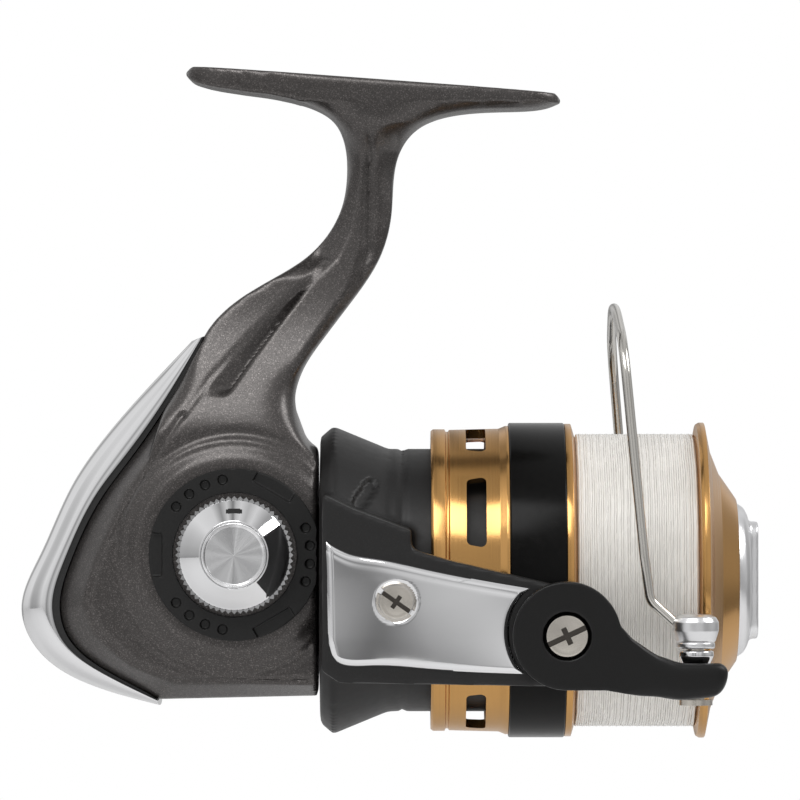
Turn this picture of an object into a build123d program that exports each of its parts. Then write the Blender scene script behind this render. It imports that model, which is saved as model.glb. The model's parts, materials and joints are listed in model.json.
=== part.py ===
from build123d import *
import os
from math import cos, radians, sin

# Spinning reel with a front drag, as separate pieces. Millimetres, +Z up.
#
# The row frame stands on the reel foot: the origin is the middle of the seat that lies against
# the rod, +Z is the seat's outward normal and +X runs forward along the foot. The main shaft
# climbs towards the front by foot_tilt, so everything below the foot is drawn in a shaft frame:
# u runs forward along the main shaft from the handle's axis, v runs up from the shaft and y is
# the row's own Y. The handle is on the +Y side.

# ---------------------------------------------------------------- driving dimensions
# Overall
foot_tilt = 4.2          # degrees between the seat and the main shaft
seat_drop = 81.8         # main shaft to the middle of the seat, square to the shaft
seat_ahead = 22.3        # handle axis to the middle of the seat, along the shaft
drive_rise = 4.6         # handle axis above the main shaft, as a hypoid gear needs

# Fits and gaps
fit = 0.05               # radial clearance of a shaft in its hole
gap = 0.4                # free space between pieces that move past each other

# Foot and stem
foot_length = 62.0
foot_width = 17.0
foot_end_width = 11.0
foot_edge = 2.6          # thickness at the tips
stem_half = 5.0          # half the stem's thinnest section

# Gear case
case_front = 13.2        # front face of the case, along the shaft
case_half = 15.0         # half width over the flat side faces
case_split = 8.0         # where the side cover meets the frame
case_wall = 2.2
boss_r = 15.8            # raised boss round the handle axis, at its top
boss_foot_r = 18.5
boss_height = 2.0
nose_r = 11.5            # the case's nose, inside the rotor
nose_length = 10.8
rear_cover_half = 9.0    # half width of the rear cover at its edges

# Bearings: bore, outside and width
drive_bearing = (3.5, 6.0, 4.0)
pinion_bearing_size = (3.3, 7.5, 4.0)

# Drive train
gear_r = 10.8
gear_teeth = 37
pinion_r = 4.25
pinion_teeth = 7
pinion_tube_r = pinion_bearing_size[0] - fit
main_shaft_r = 2.0
waist_r = 2.25           # handle shaft where it passes over the main shaft
crank_r = 7.5            # crank pin on the oscillation gear; the spool travels twice this

# Rotor
rotor_gap = 0.4          # case front to rotor
rotor_r = 21.5           # cylinder inside the spool skirt
rotor_lip_r = 25.2
rotor_wall = 2.0
rotor_front = 51.0
arm_inner = 27.2         # inner face of each arm, from the shaft
arm_outer = 33.0
arm_end_r = 8.2
cover_thick = 1.0

# Bail
pivot_u = 53.0
pivot_v = -7.8
pivot_pin_r = 2.4
bail_inner = arm_outer + 0.3
bail_clear = arm_outer + cover_thick + gap    # inner face of the bail arm where it passes over a cover
bail_outer = 37.0
bail_disc_r = 8.6
wire_r = 0.8
roller_ahead = 20.6      # line roller's axis, from the bail's pivot
roller_y = 30.0
roller_r = 2.9
roller_bottom = -16.0
roller_top = -10.3
roller_screw_r = 1.4

# Spool
skirt_rear = 31.6
skirt_r = 24.7
skirt_wall = 1.5
lip_r = 25.6
line_rear = 54.5         # rear face of the line bed
line_front = 75.0
line_r = 24.1
arbor_r = 15.0
flange_r = 25.8
flange_thick = 1.6
band_rear = 44.3
band_front = 53.4
band_r = 25.75
band_thick = 0.75
slot_count = 8
slot_angle = 30.0
slot_middle = 61.3       # first slot, round from the top towards the near side
slot_rear = 37.3
slot_front = 40.5
drag_pocket_r = 11.5
knob_opening_r = 13.1
spool_nose = 81.6

# Handle
arm_reach = 50.0         # handle axis to knob axis
fold_out = 10.0          # folding pin, from the case's side face
arm_out = 23.5           # knob end of the arm, from the folding pin
knob_out = 3.0           # knob's inner end, from the middle of the arm
knob_length = 32.0
knob_r = 9.5
spindle_r = 2.5

# ---------------------------------------------------------------- shaft frame
tilt = radians(foot_tilt)
shaft_dir = Vector(cos(tilt), 0, sin(tilt))
up_dir = Vector(-sin(tilt), 0, cos(tilt))
shaft_origin = shaft_dir * -seat_ahead + up_dir * -seat_drop

SIDE = Plane(origin=shaft_origin, x_dir=shaft_dir, z_dir=(0, -1, 0))
SHAFT = Axis(shaft_origin, shaft_dir)


def beside(y):
    """Plane square to Y at y; local x and y are u and v."""
    return SIDE.offset(-y)


def across(u, y=0, v=0):
    """Plane square to the shaft at u; local x is +Y and local y is up."""
    origin = shaft_origin + shaft_dir * u + up_dir * v + Vector(0, y, 0)
    return Plane(origin=origin, x_dir=(0, 1, 0), z_dir=shaft_dir)


def around(angle):
    """Plane through the shaft; local x is u and local y points out at the angle from the top."""
    outward = up_dir * cos(radians(angle)) - Vector(0, 1, 0) * sin(radians(angle))
    return Plane(origin=shaft_origin, x_dir=shaft_dir, z_dir=shaft_dir.cross(outward))


def above(v, u=0, y=0):
    """Plane along the shaft at height v; local x is u and local y is +Y."""
    origin = shaft_origin + shaft_dir * u + up_dir * v + Vector(0, y, 0)
    return Plane(origin=origin, x_dir=shaft_dir, z_dir=up_dir)


def crosswise(u, v):
    """Axis along +Y through (u, v), with the plane to draw its turned profiles in."""
    plane = across(u, 0, v)
    return Axis(plane.origin, (0, 1, 0)), plane


DRIVE, DRIVE_PLANE = crosswise(0, drive_rise)
PIVOT, PIVOT_PLANE = crosswise(pivot_u, pivot_v)
roller_u = pivot_u + roller_ahead
KNOB, KNOB_PLANE = crosswise(arm_reach, drive_rise)


def turn(points, axis=SHAFT, plane=SIDE, mode=Mode.ADD):
    """Turn a half profile about an axis; each point is (place along the axis, radius)."""
    with BuildSketch(plane) as profile:
        with BuildLine():
            Polyline(*points, close=True)
        make_face()
    revolve(profile.sketch, axis=axis, mode=mode)


def tube(start, end, outer, inner=0, axis=SHAFT, plane=SIDE, mode=Mode.ADD):
    """Turn a plain ring or disc between two places along an axis."""
    turn([(start, inner), (start, outer), (end, outer), (end, inner)], axis, plane, mode)


def slab(y_low, y_high, points, mode=Mode.ADD):
    """Plate with a straight-sided outline in (u, v), between two places across the reel."""
    with BuildSketch(beside(y_high)) as outline:
        with BuildLine():
            Polyline(*points, close=True)
        make_face()
    extrude(outline.sketch, amount=y_high - y_low, mode=mode)


def upright(v_low, v_high, outer, u, y, inner=0, mode=Mode.ADD):
    """Ring or disc about an axis that stands square to the shaft and Y."""
    with BuildSketch(above(v_low, u, y)) as disc:
        Circle(outer)
        if inner:
            Circle(inner, mode=Mode.SUBTRACT)
    extrude(disc.sketch, amount=v_high - v_low, mode=mode)


os.makedirs("parts", exist_ok=True)

# ---------------------------------------------------------------- outlines of the case
# Edge of the rear cover against the case, and its outermost line, from top to bottom.
cover_edge = [
    (-5.7, 39.7), (-12.4, 28.5), (-18.5, 20.0), (-22.7, 14.4), (-28.1, 3.3),
    (-30.0, -4.2), (-28.8, -8.8), (-21.3, -15.2), (-12.8, -19.4),
]
cover_crest = [
    (-7.6, 39.0), (-15.8, 30.2), (-22.4, 22.4), (-27.0, 16.7), (-32.6, 5.1),
    (-35.7, -4.9), (-33.2, -11.2), (-23.2, -17.5), (-12.6, -20.4),
]
gasket_share = 0.22      # gasket, as a share of the rear cover's depth
crease = [
    (-8.5, 27.5), (-12.6, 21.0), (-16.4, 15.2), (-22.2, 3.3),
    (-24.0, -3.4), (-22.2, -8.0), (-16.6, -13.1), (-9.8, -15.6),
]
case_bottom = -18.6
case_top = 28.5
stem_start = 9.3         # front of the stem where it leaves the case


def rear_line(share):
    """Line behind the case: 0 is the rear cover's edge and 1 its crest."""
    return [
        (edge[0] + share * (crest[0] - edge[0]), edge[1] + share * (crest[1] - edge[1]))
        for edge, crest in zip(cover_edge, cover_crest)
    ]


case_edge = rear_line(-gasket_share)


def case_face(plane, rear, front_points):
    """Side outline of the case: a curved back and straight front, top and bottom."""
    with BuildSketch(plane) as face:
        with BuildLine():
            Spline(*rear)
            Polyline(rear[-1], *front_points, rear[0])
        make_face()
    return face.sketch


edge_front = [(case_front, case_bottom), (case_front, 21.6), (11.3, 23.0), (stem_start, case_top)]
crease_front = [(case_front, -16.4), (case_front, 20.4), (11.0, 22.0), (8.6, 27.5)]


def case_half_shell(side):
    """The bevelled outer shell of one side, from the split plane to the flat side face."""
    edge = case_face(beside(side * case_split), case_edge[1:], edge_front)
    flat = case_face(beside(side * case_half), crease, crease_front)
    loft([edge, flat], ruled=True)


def boss(side):
    """Raised cone round the handle axis, cut off at the front of the case."""
    low = case_half - case_wall
    turn(
        [(side * low, 0), (side * low, boss_foot_r), (side * case_half, boss_foot_r),
         (side * (case_half + boss_height), boss_r), (side * (case_half + boss_height), 0)],
        DRIVE, DRIVE_PLANE,
    )


def trim_front(y_low, y_high):
    """Cut away what stands in front of the case."""
    slab(y_low, y_high, [(case_front, -40), (case_front, 40), (40, 40), (40, -40)], Mode.SUBTRACT)


cavity_outline = [
    (11.2, 17.5), (11.2, -14.0), (-9.0, -13.2), (-15.0, -11.0), (-20.0, -6.8),
    (-21.6, -3.0), (-19.8, 4.0), (-14.0, 14.2), (-8.0, 22.5), (6.5, 22.5),
]
rear_cavity = [
    (-8.0, -16.4), (-17.6, -14.6), (-21.0, -12.6), (-25.6, -8.6), (-26.6, -4.0), (-24.9, 4.2),
    (-18.0, 15.4), (-10.0, 22.5), (-4.0, 22.5), (-4.0, -16.4),
]
cavity_half = case_half - case_wall

# ---------------------------------------------------------------- rear cover and its gasket
# Crescents between the case's back and the cover's crest, lofted from the edges to the middle.


def crescent(y, inner_share, outer_share):
    """Crescent face behind the case at y, between two shares of the cover's depth."""
    inner = rear_line(inner_share)
    outer = rear_line(outer_share)
    with BuildSketch(beside(y)) as face:
        with BuildLine():
            Spline(*inner)
            Line(inner[-1], outer[-1])
            Spline(*reversed(outer))
            Line(outer[0], inner[0])
        make_face()
    return face.sketch


with BuildPart() as rear_cover:
    loft([crescent(-rear_cover_half, 0, 0.22), crescent(-5.6, 0, 0.8), crescent(0, 0, 1.0),
          crescent(5.6, 0, 0.8), crescent(rear_cover_half, 0, 0.22)])
rear_cover.part.label = "rear_cover"
export_step(rear_cover.part, "parts/rear_cover.step")

with BuildPart() as rear_gasket:
    extrude(crescent(rear_cover_half - 0.6, -gasket_share, 0), amount=2 * rear_cover_half - 1.2)
rear_gasket.part.label = "rear_gasket"
export_step(rear_gasket.part, "parts/rear_gasket.step")

# ---------------------------------------------------------------- body frame
# Stem: its side outline crossed with its outline from the front. Its points are given by their
# place along the shaft, or half width, and their height as a share of the way up to the seat.
stem_base = 20.0
stem_height = seat_drop - case_top


def up_stem(points):
    """Points of the stem's outlines, from the case's top at 0 to the seat at 1."""
    return [(place, case_top + share * stem_height) for place, share in points]


stem_front = up_stem([
    (stem_start, 0), (9.9, 0.084), (13.2, 0.188), (18.8, 0.326), (23.5, 0.465), (25.3, 0.604),
    (25.8, 0.741), (27.3, 0.820),
])
stem_rear = up_stem([(17.2, 0.854), (18.0, 0.741), (17.0, 0.604), (11.9, 0.465), (4.3, 0.373)])
stem_top = up_stem([(26.0, 0.929), (16.0, 0.940)])
stem_width = [(14.4, stem_base), (13.4, case_top + 0.5)] + up_stem([
    (9.8, 0.160), (7.2, 0.310), (5.6, 0.478), (stem_half, 0.666), (6.4, 0.835), (8.0, 0.948),
])
with BuildPart() as stem_blank:
    with BuildSketch(SIDE):
        with BuildLine():
            Line((11.2, stem_base), stem_front[0])
            Spline(*stem_front)
            Polyline(stem_front[-1], *stem_top, stem_rear[0])
            Spline(*stem_rear, case_edge[0])
            Polyline(case_edge[0], case_edge[1], (-14.0, stem_base), (11.2, stem_base))
        make_face()
    extrude(amount=case_half, both=True)
    with BuildSketch(across(-20)):
        with BuildLine():
            Spline(*stem_width)
            Line(stem_width[-1], (-stem_width[-1][0], stem_width[-1][1]))
            Spline(*[(-y, v) for y, v in reversed(stem_width)])
            Line((-stem_width[0][0], stem_width[0][1]), stem_width[0])
        make_face()
    extrude(amount=60, mode=Mode.INTERSECT)
    # The side cover's room on the handle side
    slab(case_split, case_half, [(-20, 10), (-20, case_top), (20, case_top), (20, 10)], Mode.SUBTRACT)

# Foot: its side outline crossed with its plan.
half_foot = foot_length / 2
with BuildPart() as foot_blank:
    with BuildSketch(Plane.XZ):
        with BuildLine():
            Polyline((-half_foot, -1.2), (-half_foot + 1.2, 0), (half_foot - 1.2, 0),
                     (half_foot, -1.2), (half_foot - 1.6, -foot_edge))
            Spline((half_foot - 1.6, -foot_edge), (20.0, -3.6), (12.0, -5.0), (7.0, -7.6), (5.0, -11.0))
            Line((5.0, -11.0), (-3.4, -11.0))
            Spline((-3.4, -11.0), (-4.6, -8.0), (-9.0, -5.4), (-18.0, -3.8), (-half_foot + 1.6, -foot_edge))
            Line((-half_foot + 1.6, -foot_edge), (-half_foot, -1.2))
        make_face()
    extrude(amount=foot_width / 2, both=True)
    with BuildSketch(Plane.XY.offset(-20)):
        with BuildLine():
            for end in (1, -1):
                Spline((end * half_foot * 0.2, end * foot_width / 2),
                       (end * half_foot * 0.7, end * (foot_width + foot_end_width) / 4 + end * 0.6),
                       (end * half_foot, 0),
                       tangents=[(end, 0), (0, -end)])
                Spline((end * half_foot, 0),
                       (end * half_foot * 0.7, -end * (foot_width + foot_end_width) / 4 - end * 0.6),
                       (end * half_foot * 0.2, -end * foot_width / 2),
                       tangents=[(0, -end), (-end, 0)])
            Line((half_foot * 0.2, foot_width / 2), (-half_foot * 0.2, foot_width / 2))
            Line((half_foot * 0.2, -foot_width / 2), (-half_foot * 0.2, -foot_width / 2))
        make_face()
    extrude(amount=20, mode=Mode.INTERSECT)

bearing_start = 11.4     # pinion bearing, along the shaft
bearing_end = bearing_start + pinion_bearing_size[2]
nose_front = case_front + nose_length
clutch_r = 10.0
guide_rod_v = -8.0
guide_rod_r = 1.0
osc_axle_r = 1.5
osc_u = -14.6            # oscillation gear's axis
osc_v = -2.6
cover_screw_places = [(-13.5, -16.6), (9.6, -16.3), (-3.0, 25.3)]
cover_screw_r = 1.2
OSC, OSC_PLANE = crosswise(osc_u, osc_v)

with BuildPart() as body_frame:
    extrude(case_face(beside(case_split), case_edge[1:], edge_front), amount=2 * case_split)
    case_half_shell(-1)
    boss(-1)
    trim_front(-case_half - 5, -cavity_half)
    add(stem_blank.part)
    add(foot_blank.part)
    slab(-cavity_half, case_split, cavity_outline, Mode.SUBTRACT)
    slab(-case_split + 0.8, case_split, rear_cavity, Mode.SUBTRACT)
    tube(case_front, nose_front, nose_r)
    tube(bearing_start, bearing_end, pinion_bearing_size[1], mode=Mode.SUBTRACT)
    tube(11.0, bearing_start, pinion_bearing_size[1] - 1.2, mode=Mode.SUBTRACT)
    tube(bearing_end, nose_front, clutch_r, mode=Mode.SUBTRACT)
    # Seat of the near drive bearing and the way out for the shaft
    tube(-cavity_half - drive_bearing[2], -cavity_half, drive_bearing[1], 0, DRIVE, DRIVE_PLANE, Mode.SUBTRACT)
    tube(-cavity_half - 6, -cavity_half, drive_bearing[1] - 0.6, 0, DRIVE, DRIVE_PLANE, Mode.SUBTRACT)
    # Holes for the side cover's screws and for the guide rod
    for u, v in cover_screw_places:
        screw_axis, screw_plane = crosswise(u, v)
        tube(case_split - 6, case_split, cover_screw_r, 0, screw_axis, screw_plane, Mode.SUBTRACT)
    add(rear_gasket.part, mode=Mode.SUBTRACT)
body_frame.part.label = "body_frame"
export_step(body_frame.part, "parts/body_frame.step")

# ---------------------------------------------------------------- side cover, on the handle side
with BuildPart() as side_cover:
    case_half_shell(1)
    boss(1)
    trim_front(cavity_half, case_half + 5)
    slab(case_split, cavity_half, cavity_outline, Mode.SUBTRACT)
    tube(cavity_half, cavity_half + drive_bearing[2], drive_bearing[1], 0, DRIVE, DRIVE_PLANE, Mode.SUBTRACT)
    tube(cavity_half, cavity_half + 6, drive_bearing[1] - 0.6, 0, DRIVE, DRIVE_PLANE, Mode.SUBTRACT)
    for u, v in cover_screw_places:
        screw_axis, screw_plane = crosswise(u, v)
        tube(case_split, case_half, cover_screw_r, 0, screw_axis, screw_plane, Mode.SUBTRACT)
        tube(case_half - 4, case_half + 3, 2.2, 0, screw_axis, screw_plane, Mode.SUBTRACT)
side_cover.part.label = "side_cover"
export_step(side_cover.part, "parts/side_cover.step")

with BuildPart() as side_cover_screws:
    for u, v in cover_screw_places:
        screw_axis, screw_plane = crosswise(u, v)
        turn([(case_split - 5.6, 0), (case_split - 5.6, cover_screw_r), (case_half - 4, cover_screw_r),
              (case_half - 4, 2.1), (case_half - 2.6, 2.1), (case_half - 2.2, 1.7), (case_half - 2.2, 0)],
             screw_axis, screw_plane)
side_cover_screws.part.label = "side_cover_screws"
export_step(side_cover_screws.part, "parts/side_cover_screws.step")


# ---------------------------------------------------------------- trim of the near boss
ring_r = 13.9
ring_hole_r = 10.0
ring_base = -(case_half + boss_height)
ring_thick = 1.2
with BuildPart() as boss_ring:
    tube(ring_base - ring_thick, ring_base, ring_r, ring_hole_r, DRIVE, DRIVE_PLANE)
    trim_front(ring_base - 5, 0)
    # Three groups of four dimples, with a pocket in the rim between the groups
    ring_face = Plane(origin=DRIVE_PLANE.origin + Vector(0, ring_base - ring_thick, 0),
                      x_dir=shaft_dir, z_dir=(0, -1, 0))
    with BuildSketch(ring_face):
        for group in (0, 120, 240):
            for step in (-20.7, -6.9, 6.9, 20.7):
                with PolarLocations(12.2, 1, start_angle=group + step):
                    Circle(0.8)
    extrude(amount=-0.7, mode=Mode.SUBTRACT)
    with BuildSketch(ring_face):
        with PolarLocations(12.9, 3, start_angle=60):
            Rectangle(2.4, 7.0)
    extrude(amount=-0.7, mode=Mode.SUBTRACT)
boss_ring.part.label = "boss_ring"
export_step(boss_ring.part, "parts/boss_ring.step")

with BuildPart() as handle_collar:
    tube(-ring_base, -ring_base + 2.2, 11.5, 4.3, DRIVE, DRIVE_PLANE)
handle_collar.part.label = "handle_collar"
export_step(handle_collar.part, "parts/handle_collar.step")

# ---------------------------------------------------------------- bearings and the one-way clutch
with BuildPart() as drive_bearings:
    for side in (-1, 1):
        tube(side * cavity_half, side * (cavity_half + drive_bearing[2]), drive_bearing[1],
             drive_bearing[0], DRIVE, DRIVE_PLANE)
drive_bearings.part.label = "drive_bearings"
export_step(drive_bearings.part, "parts/drive_bearings.step")

with BuildPart() as pinion_bearing:
    tube(bearing_start, bearing_end, pinion_bearing_size[1], pinion_bearing_size[0])
pinion_bearing.part.label = "pinion_bearing"
export_step(pinion_bearing.part, "parts/pinion_bearing.step")

retainer_thick = 1.0
retainer_screw_spread = 8.6
with BuildPart() as bearing_retainer:
    tube(bearing_end, bearing_end + retainer_thick, clutch_r, 4.2)
bearing_retainer.part.label = "bearing_retainer"
export_step(bearing_retainer.part, "parts/bearing_retainer.step")

with BuildPart() as retainer_screws:
    with BuildSketch(across(bearing_end + retainer_thick)):
        with PolarLocations(retainer_screw_spread, 2, start_angle=90):
            Circle(1.1)
    extrude(amount=0.7)
retainer_screws.part.label = "retainer_screws"
export_step(retainer_screws.part, "parts/retainer_screws.step")

clutch_start = bearing_end + retainer_thick + 1.0
clutch_end = nose_front - 0.6
clutch_sleeve_r = 4.8
roller_pin_r = 1.2
with BuildPart() as clutch_housing:
    tube(clutch_start, clutch_end, clutch_r, clutch_sleeve_r + gap + 2 * roller_pin_r)
clutch_housing.part.label = "clutch_housing"
export_step(clutch_housing.part, "parts/clutch_housing.step")

with BuildPart() as clutch_rollers:
    with BuildSketch(across(clutch_start + 0.5)):
        with PolarLocations(clutch_sleeve_r + gap + roller_pin_r, 6):
            Circle(roller_pin_r - 0.02)
    extrude(amount=clutch_end - clutch_start - 1)
clutch_rollers.part.label = "clutch_rollers"
export_step(clutch_rollers.part, "parts/clutch_rollers.step")

# ---------------------------------------------------------------- drive train
gear_back = -10.6
gear_face = -6.4
tooth_top = -pinion_r - gap
tongue_start = -ring_base + 2.6
fold_y = case_half + fold_out
cap_base = ring_base - gap
shaft_end = cap_base - 2.0
with BuildPart() as handle_shaft:
    journal = drive_bearing[0] - fit
    turn(
        [(shaft_end, 0), (shaft_end, journal), (-3.4, journal), (-3.4, waist_r), (3.4, waist_r),
         (3.4, journal), (tongue_start, journal), (tongue_start, 3.2), (fold_y + 2.6, 3.2),
         (fold_y + 2.6, 0)],
        DRIVE, DRIVE_PLANE,
    )
    # Flats of the tongue that the handle folds on, and its pin hole
    for v in (drive_rise + 2.0, drive_rise - 6.0):
        with BuildSketch(above(v, 0, (tongue_start + fold_y + 4) / 2)):
            Rectangle(12, fold_y + 4 - tongue_start)
        extrude(amount=4, mode=Mode.SUBTRACT)
    upright(drive_rise - 4, drive_rise + 4, 1.2, 0, fold_y, mode=Mode.SUBTRACT)
handle_shaft.part.label = "handle_shaft"
export_step(handle_shaft.part, "parts/handle_shaft.step")

with BuildPart() as fold_pin:
    upright(drive_rise - 5.4, drive_rise + 5.4, 1.2, 0, fold_y)
fold_pin.part.label = "fold_pin"
export_step(fold_pin.part, "parts/fold_pin.step")

with BuildPart() as drive_gear:
    tube(gear_back, gear_face, gear_r, journal, DRIVE, DRIVE_PLANE)
    tube(gear_face, tooth_top - 0.2, 6.2, journal, DRIVE, DRIVE_PLANE)
    face_plane = Plane(origin=DRIVE_PLANE.origin + Vector(0, gear_face, 0), x_dir=shaft_dir, z_dir=(0, 1, 0))
    with BuildSketch(face_plane):
        with PolarLocations((gear_r + 7.4) / 2, gear_teeth):
            Rectangle(gear_r - 7.6, 0.75)
    extrude(amount=tooth_top - gear_face)
drive_gear.part.label = "drive_gear"
export_step(drive_gear.part, "parts/drive_gear.step")

osc_teeth = 36
osc_drive_teeth = 22
osc_distance = (osc_u ** 2 + (drive_rise - osc_v) ** 2) ** 0.5
osc_r = osc_distance * osc_teeth / (osc_teeth + osc_drive_teeth) - gap / 2
osc_drive_r = osc_distance * osc_drive_teeth / (osc_teeth + osc_drive_teeth) - gap / 2
osc_low = 5.6
osc_high = 7.6
tooth_depth = 0.7


def spur_gear(radius, teeth, bore, axis, plane, y_low, y_high):
    """Straight-toothed gear about a crosswise axis, cut from a disc of its outer radius."""
    tube(y_low, y_high, radius, bore, axis, plane)
    face = Plane(origin=plane.origin + Vector(0, y_high, 0), x_dir=shaft_dir, z_dir=(0, 1, 0))
    with BuildSketch(face) as gullets:
        with PolarLocations(radius, teeth):
            Rectangle(2 * tooth_depth, 0.8)
    extrude(gullets.sketch, amount=y_low - y_high, mode=Mode.SUBTRACT)


with BuildPart() as oscillation_drive_gear:
    spur_gear(osc_drive_r, osc_drive_teeth, journal, DRIVE, DRIVE_PLANE, osc_low, osc_high)
oscillation_drive_gear.part.label = "oscillation_drive_gear"
export_step(oscillation_drive_gear.part, "parts/oscillation_drive_gear.step")

crank_plane = crosswise(osc_u - crank_r, osc_v)
slider_side = 5.2
with BuildPart() as oscillation_gear:
    spur_gear(osc_r, osc_teeth, osc_axle_r + fit, OSC, OSC_PLANE, osc_low, osc_high)
    tube(slider_side + 0.25, osc_low, 0.8, 0, *crank_plane)
oscillation_gear.part.label = "oscillation_gear"
export_step(oscillation_gear.part, "parts/oscillation_gear.step")

with BuildPart() as oscillation_axle:
    tube(osc_low - 0.4, cavity_half, osc_axle_r, 0, OSC, OSC_PLANE)
oscillation_axle.part.label = "oscillation_axle"
export_step(oscillation_axle.part, "parts/oscillation_axle.step")

# Screw cap on the near end of the handle shaft, with a knurled rim
cap_r = 9.5
cap_rim = cap_base - 3.4
cap_face = cap_rim - 3.0
disc_r = 5.3
with BuildPart() as handle_cap:
    turn([(cap_base, journal), (cap_base, cap_r), (cap_rim, cap_r), (cap_rim - 0.3, cap_r - 0.9),
          (cap_rim - 0.3, cap_r - 1.7), (cap_face, disc_r + 0.3), (cap_face, disc_r), (cap_face + 0.5, disc_r),
          (cap_face + 0.5, 0), (shaft_end, 0), (shaft_end, journal)], DRIVE, DRIVE_PLANE)
    rim_plane = Plane(origin=DRIVE_PLANE.origin + Vector(0, cap_base, 0), x_dir=shaft_dir, z_dir=(0, -1, 0))
    with BuildSketch(rim_plane):
        with PolarLocations(cap_r, 60):
            RegularPolygon(0.32, 4)
    extrude(amount=cap_base - cap_rim, mode=Mode.SUBTRACT)
handle_cap.part.label = "handle_cap"
export_step(handle_cap.part, "parts/handle_cap.step")

with BuildPart() as cap_disc:
    tube(cap_face - 0.1, cap_face + 0.5, disc_r, 0, DRIVE, DRIVE_PLANE)
cap_disc.part.label = "cap_disc"
export_step(cap_disc.part, "parts/cap_disc.step")

# ---------------------------------------------------------------- handle arm and knob
arm_drop = 4.0           # half height of the handle arm
cheek_gap = 2.0 + fit    # half the fork's slot, over the tongue
arm_mid_y = fold_y + arm_out
with BuildPart() as handle_arm:
    with BuildSketch(above(drive_rise - arm_drop)):
        with BuildLine():
            Polyline((0, fold_y - 4.6), (5.4, fold_y - 4.0), (12.0, fold_y + 15.0), (17.0, arm_mid_y - 5.1),
                     (arm_reach - 4.0, arm_mid_y - 2.2), (arm_reach + 5.0, arm_mid_y - 2.2),
                     (arm_reach + 5.0, arm_mid_y + 2.6), (arm_reach - 4.0, arm_mid_y + 2.6),
                     (15.0, arm_mid_y - 0.3), (8.4, arm_mid_y - 4.5), (0, fold_y + 4.6), close=True)
        make_face()
        with Locations((0, fold_y)):
            Circle(4.6)
    extrude(amount=2 * arm_drop)
    with BuildSketch(above(drive_rise - cheek_gap)):
        with Locations((-2, fold_y - 2)):
            Rectangle(12.8, 13.4)
    extrude(amount=2 * cheek_gap, mode=Mode.SUBTRACT)
    upright(drive_rise - 6, drive_rise + 6, 1.2 + fit, 0, fold_y, mode=Mode.SUBTRACT)
    tube(arm_mid_y - 8, arm_mid_y + 8, 1.8, 0, KNOB, KNOB_PLANE, Mode.SUBTRACT)
handle_arm.part.label = "handle_arm"
export_step(handle_arm.part, "parts/handle_arm.step")

knob_start = arm_mid_y + knob_out
knob_end = knob_start + knob_length
with BuildPart() as knob_spindle:
    turn([(arm_mid_y - 2.6, 0), (arm_mid_y - 2.6, 2.4), (arm_mid_y - 2.2, 2.4), (arm_mid_y - 2.2, 1.8),
          (arm_mid_y + 2.6, 1.8), (arm_mid_y + 2.6, spindle_r), (knob_end - 4, spindle_r), (knob_end - 4, 0)],
         KNOB, KNOB_PLANE)
knob_spindle.part.label = "knob_spindle"
export_step(knob_spindle.part, "parts/knob_spindle.step")

with BuildPart() as handle_knob:
    turn([(knob_start, spindle_r + fit), (knob_start, 4.6), (knob_start + 4, 4.6), (knob_start + 9, 7.8),
          (knob_start + 17, knob_r), (knob_start + 25, knob_r - 0.8), (knob_end - 3, knob_r - 2.6),
          (knob_end - 1, 5.2), (knob_end - 1, 4.2), (knob_end - 3.4, 4.2), (knob_end - 3.4, spindle_r + fit)],
         KNOB, KNOB_PLANE)
handle_knob.part.label = "handle_knob"
export_step(handle_knob.part, "parts/handle_knob.step")

with BuildPart() as knob_cap:
    tube(knob_end - 3.4, knob_end - 0.6, 4.2, 0, KNOB, KNOB_PLANE)
knob_cap.part.label = "knob_cap"
export_step(knob_cap.part, "parts/knob_cap.step")

# ---------------------------------------------------------------- rotor
rotor_rear = case_front + rotor_gap
web_rear = 36.0
web_front = 40.0
cup_r = rotor_r - rotor_wall
arm_outline = [
    (14.2, 13.4), (19.2, 8.9), (25.4, 6.8), (33.9, 4.2), (pivot_u - 2.0, 0.2), (pivot_u, 0.4),
    (pivot_u, pivot_v - arm_end_r), (17.0, -15.4), (14.2, -13.6),
]
bridge_outline = [(14.2, 14.6), (19.2, 12.2), (28.4, 8.8), (28.4, -15.4), (17.0, -15.4), (14.2, -13.6)]
pocket_outline = [(18.0, 2.0), (30.0, 0.6), (42.0, -1.4), (41.0, -11.0), (18.5, -9.8)]
pocket_depth = 3.6
cover_screw_u = 26.0
cover_screw_v = -2.5
with BuildPart() as rotor:
    turn([(rotor_rear, 0), (rotor_rear, 23.4), (rotor_rear + 2.1, rotor_lip_r), (24.7, rotor_r),
          (rotor_front, rotor_r), (rotor_front, 0)])
    for side in (-1, 1):
        near = min(side * arm_inner, side * arm_outer)
        slab(near, near + arm_outer - arm_inner, arm_outline)
        tube(side * arm_inner, side * arm_outer, arm_end_r, 0, PIVOT, PIVOT_PLANE)
        root = min(side * 12.0, side * arm_outer)
        slab(root, root + arm_outer - 12.0, bridge_outline)
    tube(rotor_rear - 1, web_rear, cup_r, mode=Mode.SUBTRACT)
    tube(web_front, rotor_front + 1, cup_r, mode=Mode.SUBTRACT)
    tube(web_rear - 1, web_front + 1, pinion_tube_r, mode=Mode.SUBTRACT)
    for side in (-1, 1):
        tube(side * 20, side * 40, pivot_pin_r - 0.6, 0, PIVOT, PIVOT_PLANE, Mode.SUBTRACT)
        low = min(side * (arm_outer - pocket_depth), side * arm_outer)
        slab(low, low + pocket_depth, pocket_outline, Mode.SUBTRACT)
        tube(side * (arm_inner + 0.6), side * arm_outer, 1.2, 0, *crosswise(cover_screw_u, cover_screw_v),
             Mode.SUBTRACT)
rotor.part.label = "rotor"
export_step(rotor.part, "parts/rotor.step")

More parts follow.
